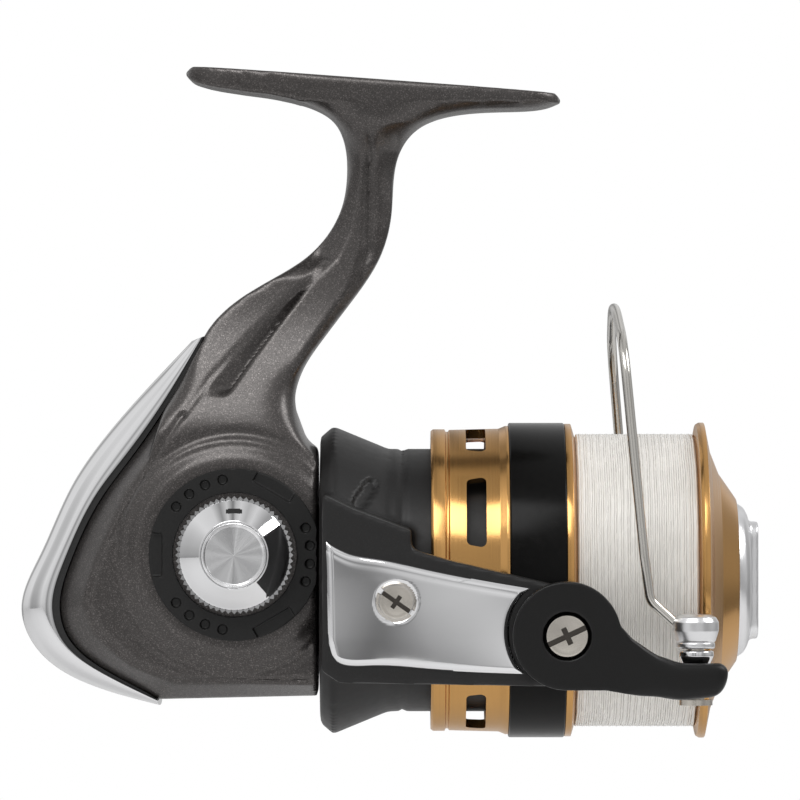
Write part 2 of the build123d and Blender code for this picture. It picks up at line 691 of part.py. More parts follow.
nut_front = web_front + 3.2
with BuildPart() as pinion_gear:
    tube(bearing_start - 0.6, nut_front + 0.6, pinion_tube_r, main_shaft_r + fit)
    tube(5.4, bearing_start - 0.6, pinion_r, main_shaft_r + fit)
    with BuildSketch(across(5.4)):
        with PolarLocations(pinion_r, pinion_teeth):
            Rectangle(2.2, 1.5)
    extrude(amount=bearing_start - 0.6 - 5.4, mode=Mode.SUBTRACT)
pinion_gear.part.label = "pinion_gear"
export_step(pinion_gear.part, "parts/pinion_gear.step")

with BuildPart() as clutch_sleeve:
    tube(clutch_start, web_rear, clutch_sleeve_r, pinion_tube_r)
clutch_sleeve.part.label = "clutch_sleeve"
export_step(clutch_sleeve.part, "parts/clutch_sleeve.step")

with BuildPart() as rotor_nut:
    with BuildSketch(across(web_front)):
        RegularPolygon(7.0, 6, major_radius=True)
        Circle(pinion_tube_r, mode=Mode.SUBTRACT)
    extrude(amount=nut_front - web_front)
rotor_nut.part.label = "rotor_nut"
export_step(rotor_nut.part, "parts/rotor_nut.step")

with BuildPart() as nut_lock_screw:
    with BuildSketch(across(web_front)):
        with Locations((0, 8.6)):
            Circle(1.5)
    extrude(amount=1.4)
nut_lock_screw.part.label = "nut_lock_screw"
export_step(nut_lock_screw.part, "parts/nut_lock_screw.step")

# Covers of the two arms, each held by one screw and hollowed round the bail's pivot
arm_cover_outline = [
    (14.9, 7.0), (18.7, 5.1), (23.0, 4.3), (30.1, 2.8), (pivot_u - 4, -0.7), (pivot_u - 4, -14.0),
    (30.1, -13.1), (16.7, -12.1), (15.2, -8.0),
]


def arm_cover(side):
    """Cover plate of one arm."""
    low = min(side * arm_outer, side * (arm_outer + cover_thick))
    slab(low, low + cover_thick, arm_cover_outline)
    tube(side * 30, side * 40, bail_disc_r + gap, 0, PIVOT, PIVOT_PLANE, Mode.SUBTRACT)
    tube(side * 30, side * 40, 1.2, 0, *crosswise(cover_screw_u, cover_screw_v), Mode.SUBTRACT)
    tube(side * (arm_outer + 0.5), side * 40, 3.2, 0, *crosswise(cover_screw_u, cover_screw_v), Mode.SUBTRACT)


with BuildPart() as arm_cover_near:
    arm_cover(-1)
arm_cover_near.part.label = "arm_cover_near"
export_step(arm_cover_near.part, "parts/arm_cover_near.step")

with BuildPart() as arm_cover_far:
    arm_cover(1)
arm_cover_far.part.label = "arm_cover_far"
export_step(arm_cover_far.part, "parts/arm_cover_far.step")

with BuildPart() as arm_cover_screws:
    for side in (-1, 1):
        tube(side * (arm_inner + 0.6), side * (arm_outer + 0.5), 1.2, 0, *crosswise(cover_screw_u, cover_screw_v))
        tube(side * (arm_outer + 0.5), side * (arm_outer + 1.4), 2.65, 0, *crosswise(cover_screw_u, cover_screw_v))
arm_cover_screws.part.label = "arm_cover_screws"
export_step(arm_cover_screws.part, "parts/arm_cover_screws.step")

pivot_head_r = 3.3
pivot_seat = bail_outer - 1.7
with BuildPart() as bail_pivot_screws:
    for side in (-1, 1):
        turn([(side * 26.0, 0), (side * 26.0, pivot_pin_r - 0.6), (side * arm_outer, pivot_pin_r - 0.6),
              (side * arm_outer, pivot_pin_r), (side * (pivot_seat + gap), pivot_pin_r),
              (side * (pivot_seat + gap), pivot_head_r), (side * (bail_outer - 0.1), pivot_head_r),
              (side * (bail_outer + 0.2), pivot_head_r - 0.8), (side * (bail_outer + 0.2), 0)],
             PIVOT, PIVOT_PLANE)
bail_pivot_screws.part.label = "bail_pivot_screws"
export_step(bail_pivot_screws.part, "parts/bail_pivot_screws.step")

# Torsion spring and kick lever in the pocket of the near arm
with BuildPart() as bail_spring:
    for turn_no in range(3):
        start = -arm_outer + 0.5 + turn_no * 0.9
        tube(start, start + 0.6, 2.6, 1.9, *crosswise(34.0, -5.2))
    slab(-arm_outer + 0.5, -arm_outer + 2.9, [(32.0, -5.9), (32.0, -5.1), (31.6, -5.1), (31.6, -5.9)])
bail_spring.part.label = "bail_spring"
export_step(bail_spring.part, "parts/bail_spring.step")

with BuildPart() as kick_lever:
    slab(-arm_outer + 0.4, -arm_outer + 1.6, [(19.5, 0.6), (22.0, 0.6), (22.0, -8.6), (19.5, -8.6)])
kick_lever.part.label = "kick_lever"
export_step(kick_lever.part, "parts/kick_lever.step")

# ---------------------------------------------------------------- bail
# Side outline and plan of the bail arm; their first values run forward from the pivot.


def ahead(points):
    """Points whose first value is given from the bail's pivot."""
    return [(pivot_u + first, *rest) for first, *rest in points]


bail_side = ahead([
    (5.9, -1.5), (7.6, -5.2), (10.4, -8.3), (14.7, -10.9), (17.6, -12.1), (24.5, -12.0),
    (25.9, -13.2), (25.3, -16.0), (23.9, -17.6), (18.2, -18.1), (11.9, -17.4), (6.2, -16.4),
    (0, pivot_v - bail_disc_r), (0, pivot_v),
])
bail_plan = ahead([
    (-10, bail_clear), (-10, bail_outer), (9, bail_outer), (19, 36.0), (26.5, 34.6),
    (26.5, 27.0), (16.6, 27.0), (14.2, bail_clear),
])
with BuildPart() as bail_arm:
    slab(-60, 0, bail_side)
    with BuildSketch(above(-40)):
        with BuildLine():
            Polyline(*[(u, -y) for u, y in bail_plan], close=True)
        make_face()
    extrude(amount=60, mode=Mode.INTERSECT)
    tube(-bail_outer, -bail_inner, bail_disc_r, 0, PIVOT, PIVOT_PLANE)
    # Bore, recess of the pivot screw, and the seat of the line roller
    tube(-60, 0, pivot_pin_r + fit, 0, PIVOT, PIVOT_PLANE, Mode.SUBTRACT)
    tube(-60, -pivot_seat, pivot_head_r + 0.5, 0, PIVOT, PIVOT_PLANE, Mode.SUBTRACT)
    upright(roller_bottom - 0.3, 0, roller_r + gap, roller_u, -roller_y, mode=Mode.SUBTRACT)
    slab(-roller_y, 0, [(roller_u - 4.6, roller_bottom - 0.3), (roller_u - 4.6, 0), (roller_u + 8.4, 0),
                        (roller_u + 8.4, roller_bottom - 0.3)], Mode.SUBTRACT)
    upright(-30, 0, roller_screw_r, roller_u, -roller_y, mode=Mode.SUBTRACT)
bail_arm.part.label = "bail_arm"
export_step(bail_arm.part, "parts/bail_arm.step")

with BuildPart() as line_roller:
    with BuildSketch(Plane(origin=above(0, roller_u, -roller_y).origin, x_dir=shaft_dir, z_dir=(0, -1, 0))):
        with BuildLine():
            Polyline((roller_screw_r + fit, roller_bottom), (roller_r, roller_bottom),
                     (roller_r, roller_bottom + 1.0), (roller_r - 0.6, roller_bottom + 2.6),
                     (roller_r - 0.6, roller_top - 2.2), (roller_r, roller_top - 0.9), (roller_r, roller_top),
                     (roller_screw_r + fit, roller_top), close=True)
        make_face()
    revolve(axis=Axis(above(0, roller_u, -roller_y).origin, up_dir))
line_roller.part.label = "line_roller"
export_step(line_roller.part, "parts/line_roller.step")

cone_bottom = -10.0
cone_top = -4.6
with BuildPart() as wire_cone:
    with BuildSketch(Plane(origin=above(0, roller_u, -roller_y).origin, x_dir=shaft_dir, z_dir=(0, -1, 0))):
        with BuildLine():
            Polyline((roller_screw_r, cone_bottom), (3.3, cone_bottom), (3.74, cone_top - 0.8),
                     (3.3, cone_top - 0.1), (2.4, cone_top), (0, cone_top), (0, cone_top - 1.4),
                     (roller_screw_r, cone_top - 1.4), close=True)
        make_face()
    revolve(axis=Axis(above(0, roller_u, -roller_y).origin, up_dir))
wire_cone.part.label = "wire_cone"
export_step(wire_cone.part, "parts/wire_cone.step")

with BuildPart() as roller_screw:
    upright(-19.0, -18.1, 2.7, roller_u, -roller_y)
    upright(-18.1, cone_top - 1.4, roller_screw_r, roller_u, -roller_y)
roller_screw.part.label = "roller_screw"
export_step(roller_screw.part, "parts/roller_screw.step")

# Far holder of the wire
with BuildPart() as bail_holder:
    slab(bail_inner, bail_outer, ahead([(1, 0.2), (7.8, 0.2), (8.6, -4.0), (5.4, -13.4), (0, -14)]))
    tube(bail_inner, bail_outer, bail_disc_r - 0.6, 0, PIVOT, PIVOT_PLANE)
    tube(bail_inner - 1, bail_outer + 1, pivot_pin_r + fit, 0, PIVOT, PIVOT_PLANE, Mode.SUBTRACT)
    tube(pivot_seat, bail_outer + 1, pivot_head_r + 0.5, 0, PIVOT, PIVOT_PLANE, Mode.SUBTRACT)
bail_holder.part.label = "bail_holder"
export_step(bail_holder.part, "parts/bail_holder.step")


def at(u, y, v):
    """Point given in the shaft frame."""
    return shaft_origin + shaft_dir * u + Vector(0, y, 0) + up_dir * v


wire_route = ahead([
    (roller_ahead - 2.6, -roller_y, -6.6), (roller_ahead - 7.2, -roller_y, -2.4), (12.4, -30.0, 5.0),
    (9.2, -27.2, 38.5), (8.5, 0, 46.4), (9.2, 27.2, 38.5), (12, 31.0, 6.0), (8.8, 35.2, -1.0),
    (5.4, 35.2, -4.2),
])
wire_radii = [3.0, 14.0, 9.0, 45.0, 9.0, 14.0, 3.0]
with BuildPart() as bail_wire:
    with BuildLine() as wire_path:
        FilletPolyline(*[at(*point) for point in wire_route], radius=wire_radii)
    with BuildSketch(Plane(origin=wire_path.line @ 0, z_dir=wire_path.line % 0)):
        Circle(wire_r)
    sweep(path=wire_path.line)
bail_wire.part.label = "bail_wire"
export_step(bail_wire.part, "parts/bail_wire.step")

# ---------------------------------------------------------------- spool shaft and slider
slider_rear = osc_u - crank_r - 1.8
slider_front = osc_u - crank_r + 1.8
shaft_tip = 83.4
with BuildPart() as main_shaft:
    tube(slider_rear, shaft_tip, main_shaft_r)
main_shaft.part.label = "main_shaft"
export_step(main_shaft.part, "parts/main_shaft.step")

slot_half = crank_r + 0.9
slot_top = osc_v + slot_half + 0.8
slot_foot = osc_v - slot_half - 0.8
with BuildPart() as slider:
    slab(-3.4, slider_side - 1.8, [(slider_rear, 3.6), (slider_front, 3.6), (slider_front, -10.0), (slider_rear, -10.0)])
    slab(slider_side - 1.8, slider_side,
         [(slider_rear, osc_v + 6.6), (slider_rear + 1.8, slot_top), (slider_front, slot_top),
          (slider_front, slot_foot), (slider_rear + 3.0, slot_foot), (slider_rear, osc_v - 5.6)])
    slab(slider_side - 1.8, slider_side + 1,
         [(osc_u - crank_r - 1.0, osc_v + slot_half), (osc_u - crank_r + 1.0, osc_v + slot_half),
          (osc_u - crank_r + 1.0, osc_v - slot_half), (osc_u - crank_r - 1.0, osc_v - slot_half)], Mode.SUBTRACT)
    tube(slider_rear - 1, slider_front + 1, main_shaft_r, mode=Mode.SUBTRACT)
    with BuildSketch(across(slider_rear - 1)):
        with Locations((0, guide_rod_v)):
            Circle(guide_rod_r + fit)
    extrude(amount=6, mode=Mode.SUBTRACT)
slider.part.label = "slider"
export_step(slider.part, "parts/slider.step")

with BuildPart() as slider_guide_rod:
    with BuildSketch(across(-24.8)):
        with Locations((0, guide_rod_v)):
            Circle(guide_rod_r)
    extrude(amount=24.8 + 11.2)
slider_guide_rod.part.label = "slider_guide_rod"
export_step(slider_guide_rod.part, "parts/slider_guide_rod.step")

with BuildPart() as slider_screw:
    upright(3.6, 4.8, 1.6, (slider_rear + slider_front) / 2, 0)
slider_screw.part.label = "slider_screw"
export_step(slider_screw.part, "parts/slider_screw.step")

hub_rear = 66.0
hub_front = 69.0
with BuildPart() as spool_seat:
    tube(56.5, hub_rear - 0.8, 4.8, main_shaft_r)
    tube(59.5, 60.7, 9.0, main_shaft_r)
spool_seat.part.label = "spool_seat"
export_step(spool_seat.part, "parts/spool_seat.step")

with BuildPart() as spool_washers:
    tube(hub_rear - 0.8, hub_rear - 0.1, 4.4, main_shaft_r)
spool_washers.part.label = "spool_washers"
export_step(spool_washers.part, "parts/spool_washers.step")

# ---------------------------------------------------------------- spool
skirt_in = skirt_r - skirt_wall
with BuildPart() as spool:
    turn([
        (skirt_rear, skirt_in), (skirt_rear, skirt_r - 0.3), (skirt_rear + 0.4, skirt_r),
        (33.9, skirt_r), (34.1, skirt_r - 0.4), (34.4, skirt_r - 0.4), (34.6, skirt_r - 0.1),
        (42.7, skirt_r + 0.1), (43.8, band_r - 0.5), (band_rear, band_r - 0.5),
        (band_rear, band_r - band_thick), (band_front, band_r - band_thick), (band_front, lip_r),
        (line_rear, lip_r), (line_rear + 0.6, line_r - 0.6), (line_rear + 0.6, arbor_r),
        (line_front - 0.4, arbor_r), (line_front - 0.4, line_r - 0.6), (line_front, flange_r - 0.3),
        (line_front + 0.5, flange_r), (line_front + flange_thick - 0.3, flange_r),
        (line_front + flange_thick, 24.3), (77.2, 21.3), (78.7, 17.5), (81.0, 14.2),
        (spool_nose, knob_opening_r + 0.2), (spool_nose, knob_opening_r), (77.0, knob_opening_r),
        (77.0, drag_pocket_r), (hub_front, drag_pocket_r), (hub_front, main_shaft_r + fit),
        (hub_rear, main_shaft_r + fit), (hub_rear, arbor_r - 1.8), (line_rear - 1.0, arbor_r - 1.8),
        (line_rear - 1.0, skirt_in),
    ])
    # Openings round the skirt
    for number in range(slot_count):
        start = slot_middle - slot_angle / 2 + number * 360 / slot_count
        with BuildSketch(around(start)) as slot:
            with BuildLine():
                Polyline((slot_rear, skirt_in - 1), (slot_rear, band_r + 1), (slot_front, band_r + 1),
                         (slot_front, skirt_in - 1), close=True)
            make_face()
        revolve(slot.sketch, axis=SHAFT, revolution_arc=slot_angle, mode=Mode.SUBTRACT)
spool.part.label = "spool"
export_step(spool.part, "parts/spool.step")

with BuildPart() as spool_band:
    tube(band_rear, band_front, band_r, band_r - band_thick)
spool_band.part.label = "spool_band"
export_step(spool_band.part, "parts/spool_band.step")

with BuildPart() as wound_line:
    turn([(line_rear + 0.6, arbor_r), (line_rear + 0.6, line_r - 0.6), (line_rear + 0.9, line_r),
          (line_front - 0.7, line_r), (line_front - 0.4, line_r - 0.6), (line_front - 0.4, arbor_r)])
wound_line.part.label = "wound_line"
export_step(wound_line.part, "parts/wound_line.step")

# Drag stack: felt and metal washers by turns, held by a ring
washer_thick = 1.0
washer_bore = main_shaft_r + gap
with BuildPart() as drag_washers_felt:
    for layer in (0, 2, 4):
        tube(hub_front + layer * washer_thick, hub_front + (layer + 1) * washer_thick,
             drag_pocket_r - 0.2, washer_bore)
drag_washers_felt.part.label = "drag_washers_felt"
export_step(drag_washers_felt.part, "parts/drag_washers_felt.step")

with BuildPart() as drag_washers_metal:
    for layer in (1, 3, 5):
        tube(hub_front + layer * washer_thick, hub_front + (layer + 1) * washer_thick,
             drag_pocket_r - 0.1, washer_bore)
drag_washers_metal.part.label = "drag_washers_metal"
export_step(drag_washers_metal.part, "parts/drag_washers_metal.step")

stack_front = hub_front + 6 * washer_thick
with BuildPart() as drag_retainer:
    tube(stack_front, stack_front + 0.8, drag_pocket_r, drag_pocket_r - 1.8)
drag_retainer.part.label = "drag_retainer"
export_step(drag_retainer.part, "parts/drag_retainer.step")

# ---------------------------------------------------------------- drag knob
knob_rear = 77.6
knob_out_r = knob_opening_r - gap
insert_r = 5.0
press_start = stack_front + gap
with BuildPart() as drag_knob:
    turn([(knob_rear, insert_r), (knob_rear, knob_out_r - 0.3), (knob_rear + 0.3, knob_out_r),
          (spool_nose, knob_out_r), (82.8, 11.9), (83.5, 10.6), (83.7, 9.0), (83.7, 0), (shaft_tip + 0.1, 0),
          (shaft_tip + 0.1, insert_r)])
    # Grip bar up the face
    with BuildSketch(across(shaft_tip + 0.1)):
        Rectangle(6.4, 2 * 9.6)
        fillet(vertices(), 2.4)
    extrude(amount=1.7)
drag_knob.part.label = "drag_knob"
export_step(drag_knob.part, "parts/drag_knob.step")

with BuildPart() as knob_insert:
    tube(press_start, knob_rear, 8.6, main_shaft_r + fit)
    tube(knob_rear, shaft_tip + 0.1, insert_r, main_shaft_r + fit)
knob_insert.part.label = "knob_insert"
export_step(knob_insert.part, "parts/knob_insert.step")
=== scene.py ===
"""Spinning reel: the outer pieces and finishes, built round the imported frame."""

import json
import math

import bmesh
import bpy
import numpy as np
from bpy.props import FloatProperty, FloatVectorProperty, IntProperty, PointerProperty
from mathutils import Matrix, Vector


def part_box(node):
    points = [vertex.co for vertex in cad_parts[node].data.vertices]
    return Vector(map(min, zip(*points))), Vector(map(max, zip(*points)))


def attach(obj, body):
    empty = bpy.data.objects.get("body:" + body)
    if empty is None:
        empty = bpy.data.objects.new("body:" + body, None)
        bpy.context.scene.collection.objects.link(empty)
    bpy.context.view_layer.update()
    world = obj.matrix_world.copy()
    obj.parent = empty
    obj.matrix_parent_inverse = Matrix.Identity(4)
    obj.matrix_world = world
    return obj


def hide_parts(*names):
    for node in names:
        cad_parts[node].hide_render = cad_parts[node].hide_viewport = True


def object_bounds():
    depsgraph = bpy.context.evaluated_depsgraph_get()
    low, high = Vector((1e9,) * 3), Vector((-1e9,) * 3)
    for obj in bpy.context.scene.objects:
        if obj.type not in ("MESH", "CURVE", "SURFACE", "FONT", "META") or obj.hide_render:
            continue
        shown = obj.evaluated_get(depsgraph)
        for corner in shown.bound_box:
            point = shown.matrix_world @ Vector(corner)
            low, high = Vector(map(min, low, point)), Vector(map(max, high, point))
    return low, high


bl_info = {
    "name": "Spinning Reel",
    "version": (1, 0, 0),
    "blender": (4, 5, 0),
    "location": "3D View > Sidebar > Reel",
    "description": "Builds the finished pieces of a spinning reel round its frame",
    "category": "Object",
}

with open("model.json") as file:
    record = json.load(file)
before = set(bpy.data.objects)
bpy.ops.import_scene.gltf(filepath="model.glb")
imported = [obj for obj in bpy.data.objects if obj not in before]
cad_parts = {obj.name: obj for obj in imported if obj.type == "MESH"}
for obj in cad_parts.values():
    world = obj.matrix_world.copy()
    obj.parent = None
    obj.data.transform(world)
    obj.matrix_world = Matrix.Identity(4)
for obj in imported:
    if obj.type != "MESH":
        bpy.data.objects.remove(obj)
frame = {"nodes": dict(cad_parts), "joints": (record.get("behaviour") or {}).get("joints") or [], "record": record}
CAD_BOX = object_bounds()

# ------------------------------------------------------------------ places from the frame
MM = 0.001
JOINTS = {joint["name"]: joint for joint in frame["joints"]}
FORWARD = Vector(JOINTS["rotor_spin"]["axis"]).normalized()
ACROSS = Vector((0.0, 1.0, 0.0))
UPWARD = FORWARD.cross(ACROSS)
DRIVE_POINT = Vector(JOINTS["handle_turn"]["pos_m"])
DRIVE_RISE = (DRIVE_POINT - Vector(JOINTS["rotor_spin"]["pos_m"])).dot(UPWARD)
SHAFT_START = DRIVE_POINT - UPWARD * DRIVE_RISE


def basis(origin, x_axis, y_axis):
    """Matrix of a right-handed frame from two of its axes."""
    z_axis = x_axis.cross(y_axis)
    matrix = Matrix((x_axis, y_axis, z_axis)).transposed().to_4x4()
    matrix.translation = origin
    return matrix


SHAFT = basis(SHAFT_START, FORWARD, ACROSS)
TO_SHAFT = SHAFT.inverted()


def at(u, y, v):
    """Point in the frame's axes from its place along, across and above the main shaft, in mm."""
    return SHAFT @ Vector((u * MM, y * MM, v * MM))


def joint_in_shaft(name):
    """Place of a joint along, across and above the main shaft, in mm."""
    return TO_SHAFT @ Vector(JOINTS[name]["pos_m"]) / MM


PIVOT = joint_in_shaft("bail_flip")
ROLLER = joint_in_shaft("roller_spin")
KNOB = joint_in_shaft("knob_spin")


def outward_frame(u, y, v, side):
    """Frame whose first axis points out of the reel's side: -1 is the near side, 1 the handle side."""
    return basis(at(u, y, v), ACROSS * side, UPWARD)


# ------------------------------------------------------------------ settings
class ReelColours(bpy.types.PropertyGroup):
    """Colours of the reel's finishes."""

    case: FloatVectorProperty(name="Case", description="Flake paint of the case and foot",
                              default=(0.078, 0.0715, 0.0690), subtype="COLOR", min=0, max=1)
    rotor: FloatVectorProperty(name="Rotor", description="Satin paint of the rotor",
                               default=(0.016, 0.0155, 0.0155), subtype="COLOR", min=0, max=1)
    bail: FloatVectorProperty(name="Bail arm", description="Black paint of the bail arm and its holder",
                              default=(0.0045, 0.0043, 0.0043), subtype="COLOR", min=0, max=1)
    gold: FloatVectorProperty(name="Spool", description="Anodised spool",
                              default=(0.64, 0.355, 0.125), subtype="COLOR", min=0, max=1)
    line: FloatVectorProperty(name="Line", description="Wound monofilament",
                              default=(0.86, 0.835, 0.79), subtype="COLOR", min=0, max=1)


class ReelSizes(bpy.types.PropertyGroup):
    """Sizes that are set by looks alone, inside the frame's solids."""

    casting_skin: FloatProperty(name="Casting skin", description="Grid of the cast skins", default=0.45 * MM,
                                unit="LENGTH", min=0.2 * MM, max=1.0 * MM, precision=5)
    line_pitch: FloatProperty(name="Line pitch", description="Spacing of the wound line", default=0.36 * MM,
                              unit="LENGTH", min=0.2 * MM, max=1.0 * MM, precision=5)
    knurl_count: IntProperty(name="Knurls", description="Teeth round the screw cap", default=60,
                             min=24, max=120)
    camera_distance: FloatProperty(name="Camera distance", description="Camera to the shaft", default=1.0,
                                   unit="LENGTH", min=0.3, max=5.0)


def colours():
    """The reel's colour settings."""
    return bpy.context.scene.reel_colours


def sizes():
    """The reel's size settings."""
    return bpy.context.scene.reel_sizes


# ------------------------------------------------------------------ finishes
def principled(name, colour, metallic=0.0, roughness=0.5, **sockets):
    """Material with its shader's plain values set; returns the material and the shader."""
    material = bpy.data.materials.new(name)
    material.use_nodes = True
    shader = material.node_tree.nodes["Principled BSDF"]
    shader.inputs["Base Color"].default_value = (*colour, 1.0)
    shader.inputs["Metallic"].default_value = metallic
    shader.inputs["Roughness"].default_value = roughness
    for socket, value in sockets.items():
        shader.inputs[socket.replace("_", " ")].default_value = value
    return material, shader


def object_noise(tree, scale, detail=2.0, stretch=(1.0, 1.0, 1.0)):
    """Noise on object coordinates, as a socket from 0 to 1; scale is in features per metre."""
    place = tree.nodes.new("ShaderNodeTexCoord")
    mapping = tree.nodes.new("ShaderNodeMapping")
    mapping.inputs["Scale"].default_value = stretch
    noise = tree.nodes.new("ShaderNodeTexNoise")
    noise.inputs["Scale"].default_value = scale
    noise.inputs["Detail"].default_value = detail
    tree.links.new(place.outputs["Object"], mapping.inputs["Vector"])
    tree.links.new(mapping.outputs["Vector"], noise.inputs["Vector"])
    return noise.outputs["Fac"]


def ramp(tree, source, stops):
    """Colour ramp fed by a socket; stops are (place, colour)."""
    node = tree.nodes.new("ShaderNodeValToRGB")
    elements = node.color_ramp.elements
    while len(elements) < len(stops):
        elements.new(0.5)
    for element, (place, colour) in zip(elements, stops):
        element.position = place
        element.color = (*colour, 1.0) if len(colour) == 3 else colour
    tree.links.new(source, node.inputs["Fac"])
    return node.outputs["Color"]


def span_value(tree, source, low, high):
    """Map a socket that runs from 0 to 1 to a range."""
    node = tree.nodes.new("ShaderNodeMapRange")
    node.inputs["To Min"].default_value = low
    node.inputs["To Max"].default_value = high
    tree.links.new(source, node.inputs["Value"])
    return node.outputs["Result"]


def add_bump(tree, shader, source, strength, depth):
    """Bump from a height socket; depth is in metres."""
    bump = tree.nodes.new("ShaderNodeBump")
    bump.inputs["Strength"].default_value = strength
    bump.inputs["Distance"].default_value = depth
    tree.links.new(source, bump.inputs["Height"])
    tree.links.new(bump.outputs["Normal"], shader.inputs["Normal"])


def tint(colour, factor):
    """Lighter or darker shade of a colour."""
    return tuple(min(1.0, channel * factor) for channel in colour)


def flake_paint(name, colour, flake=2.4, roughness=0.34, metallic=0.75):
    """Metallic paint: bright flakes in a dark base, with a light orange peel."""
    material, shader = principled(name, colour, metallic, roughness, Coat_Weight=0.25, Coat_Roughness=0.22)
    tree = material.node_tree
    place = tree.nodes.new("ShaderNodeTexCoord")
    cells = tree.nodes.new("ShaderNodeTexVoronoi")
    cells.inputs["Scale"].default_value = 7800.0
    tree.links.new(place.outputs["Object"], cells.inputs["Vector"])
    split = tree.nodes.new("ShaderNodeSeparateColor")
    tree.links.new(cells.outputs["Color"], split.inputs["Color"])
    flakes = ramp(tree, split.outputs["Red"], [
        (0.0, tint(colour, 0.78)), (0.72, colour), (0.90, tint(colour, 1.5)), (1.0, tint(colour, flake)),
    ])
    tree.links.new(flakes, shader.inputs["Base Color"])
    tree.links.new(span_value(tree, split.outputs["Green"], roughness - 0.07, roughness + 0.09),
                   shader.inputs["Roughness"])
    add_bump(tree, shader, object_noise(tree, 2600.0, 3.0), 0.12, 0.00006)
    return material


def satin_paint(name, colour, roughness=0.42, grain=0.10):
    """Even satin paint with a fine grain."""
    material, shader = principled(name, colour, 0.15, roughness, Specular_IOR_Level=0.38)
    tree = material.node_tree
    shades = ramp(tree, object_noise(tree, 5200.0, 2.0),
                  [(0.3, tint(colour, 0.86)), (0.6, colour), (0.78, tint(colour, 1.55))])
    tree.links.new(shades, shader.inputs["Base Color"])
    tree.links.new(span_value(tree, object_noise(tree, 700.0), roughness - 0.05, roughness + 0.07),
                   shader.inputs["Roughness"])
    add_bump(tree, shader, object_noise(tree, 4200.0, 3.0), grain, 0.00006)
    return material


def plating(name, colour, roughness, wear=0.03, recess=(0.02, 0.018, 0.016)):
    """Bright plating with faint handling marks in its gloss, and painted shade in its recesses."""
    material, shader = principled(name, colour, 1.0, roughness)
    tree = material.node_tree
    tree.links.new(span_value(tree, object_noise(tree, 420.0, 4.0), roughness, roughness + wear),
                   shader.inputs["Roughness"])
    shades = ramp(tree, object_noise(tree, 60.0, 3.0), [(0.3, tint(colour, 0.94)), (0.7, colour)])
    # Painted shade: the base colour darkens towards the recess colour where the mesh's recess attribute is high.
    depth = tree.nodes.new("ShaderNodeAttribute")
    depth.attribute_name = "recess"
    shade_mix = tree.nodes.new("ShaderNodeMixRGB")
    shade_mix.inputs["Color2"].default_value = (*recess, 1.0)
    tree.links.new(depth.outputs["Fac"], shade_mix.inputs["Fac"])
    tree.links.new(shades, shade_mix.inputs["Color1"])
    tree.links.new(shade_mix.outputs["Color"], shader.inputs["Base Color"])
    return material


def turned_metal(name, colour, roughness, rings=9000.0, anisotropy=0.6, depth=0.000006, axis=FORWARD):
    """Metal turned on a lathe: fine rings square to an axis."""
    material, shader = principled(name, colour, 1.0, roughness, Anisotropic=anisotropy)
    tree = material.node_tree
    place = tree.nodes.new("ShaderNodeTexCoord")
    along = tree.nodes.new("ShaderNodeVectorMath")
    along.operation = "DOT_PRODUCT"
    along.inputs[1].default_value = axis
    tree.links.new(place.outputs["Object"], along.inputs[0])
    rings_noise = tree.nodes.new("ShaderNodeTexNoise")
    rings_noise.noise_dimensions = "1D"
    rings_noise.inputs["Scale"].default_value = rings
    rings_noise.inputs["Detail"].default_value = 3.0
    tree.links.new(along.outputs["Value"], rings_noise.inputs["W"])
    tree.links.new(span_value(tree, rings_noise.outputs["Fac"], roughness - 0.05, roughness + 0.10),
                   shader.inputs["Roughness"])
    shades = ramp(tree, rings_noise.outputs["Fac"], [(0.3, tint(colour, 0.93)), (0.65, colour)])
    tree.links.new(shades, shader.inputs["Base Color"])
    add_bump(tree, shader, rings_noise.outputs["Fac"], 0.5, depth)
    return material


def spun_disc(name, colour, centre):
    """Disc spun bright, with painted highlights and shade in rays that fan out from its centre."""
    material, shader = principled(name, colour, 1.0, 0.26, Anisotropic=0.75)
    tree = material.node_tree
    place = tree.nodes.new("ShaderNodeTexCoord")
    offset = tree.nodes.new("ShaderNodeMapping")
    offset.inputs["Location"].default_value = -centre
    rings = tree.nodes.new("ShaderNodeTexWave")
    rings.wave_type = "RINGS"
    rings.rings_direction = "Y"
    rings.inputs["Scale"].default_value = 1400.0
    rings.inputs["Distortion"].default_value = 0.6
    tree.links.new(place.outputs["Object"], offset.inputs["Vector"])
    tree.links.new(offset.outputs["Vector"], rings.inputs["Vector"])
    split = tree.nodes.new("ShaderNodeSeparateXYZ")
    tree.links.new(offset.outputs["Vector"], split.inputs["Vector"])
    angle = tree.nodes.new("ShaderNodeMath")
    angle.operation = "ARCTAN2"
    tree.links.new(split.outputs["X"], angle.inputs[0])
    tree.links.new(split.outputs["Z"], angle.inputs[1])
    # Painted highlight and shade: the base colour is made lighter and darker in broad fans round the centre.
    painted_fans = tree.nodes.new("ShaderNodeTexNoise")
    painted_fans.noise_dimensions = "1D"
    painted_fans.inputs["Scale"].default_value = 1.1
    painted_fans.inputs["Detail"].default_value = 1.0
    tree.links.new(angle.outputs["Value"], painted_fans.inputs["W"])
    shades = ramp(tree, painted_fans.outputs["Fac"], [
        (0.30, tint(colour, 0.74)), (0.46, tint(colour, 0.95)), (0.58, tint(colour, 1.2)),
        (0.74, tint(colour, 0.84)),
    ])
    tree.links.new(shades, shader.inputs["Base Color"])
    add_bump(tree, shader, rings.outputs["Fac"], 0.35, 0.00001)
    return material


def moulded(name, colour, roughness=0.5, grain=0.15, scale=2600.0, **sockets):
    """Moulded plastic or rubber with a fine grain."""
    material, shader = principled(name, colour, 0.0, roughness, **sockets)
    tree = material.node_tree
    noise = object_noise(tree, scale, 3.0)
    tree.links.new(span_value(tree, noise, roughness - 0.05, roughness + 0.06), shader.inputs["Roughness"])
    shades = ramp(tree, noise, [(0.35, tint(colour, 0.85)), (0.7, tint(colour, 1.2))])
    tree.links.new(shades, shader.inputs["Base Color"])
    add_bump(tree, shader, noise, grain, 0.00006)
    return material


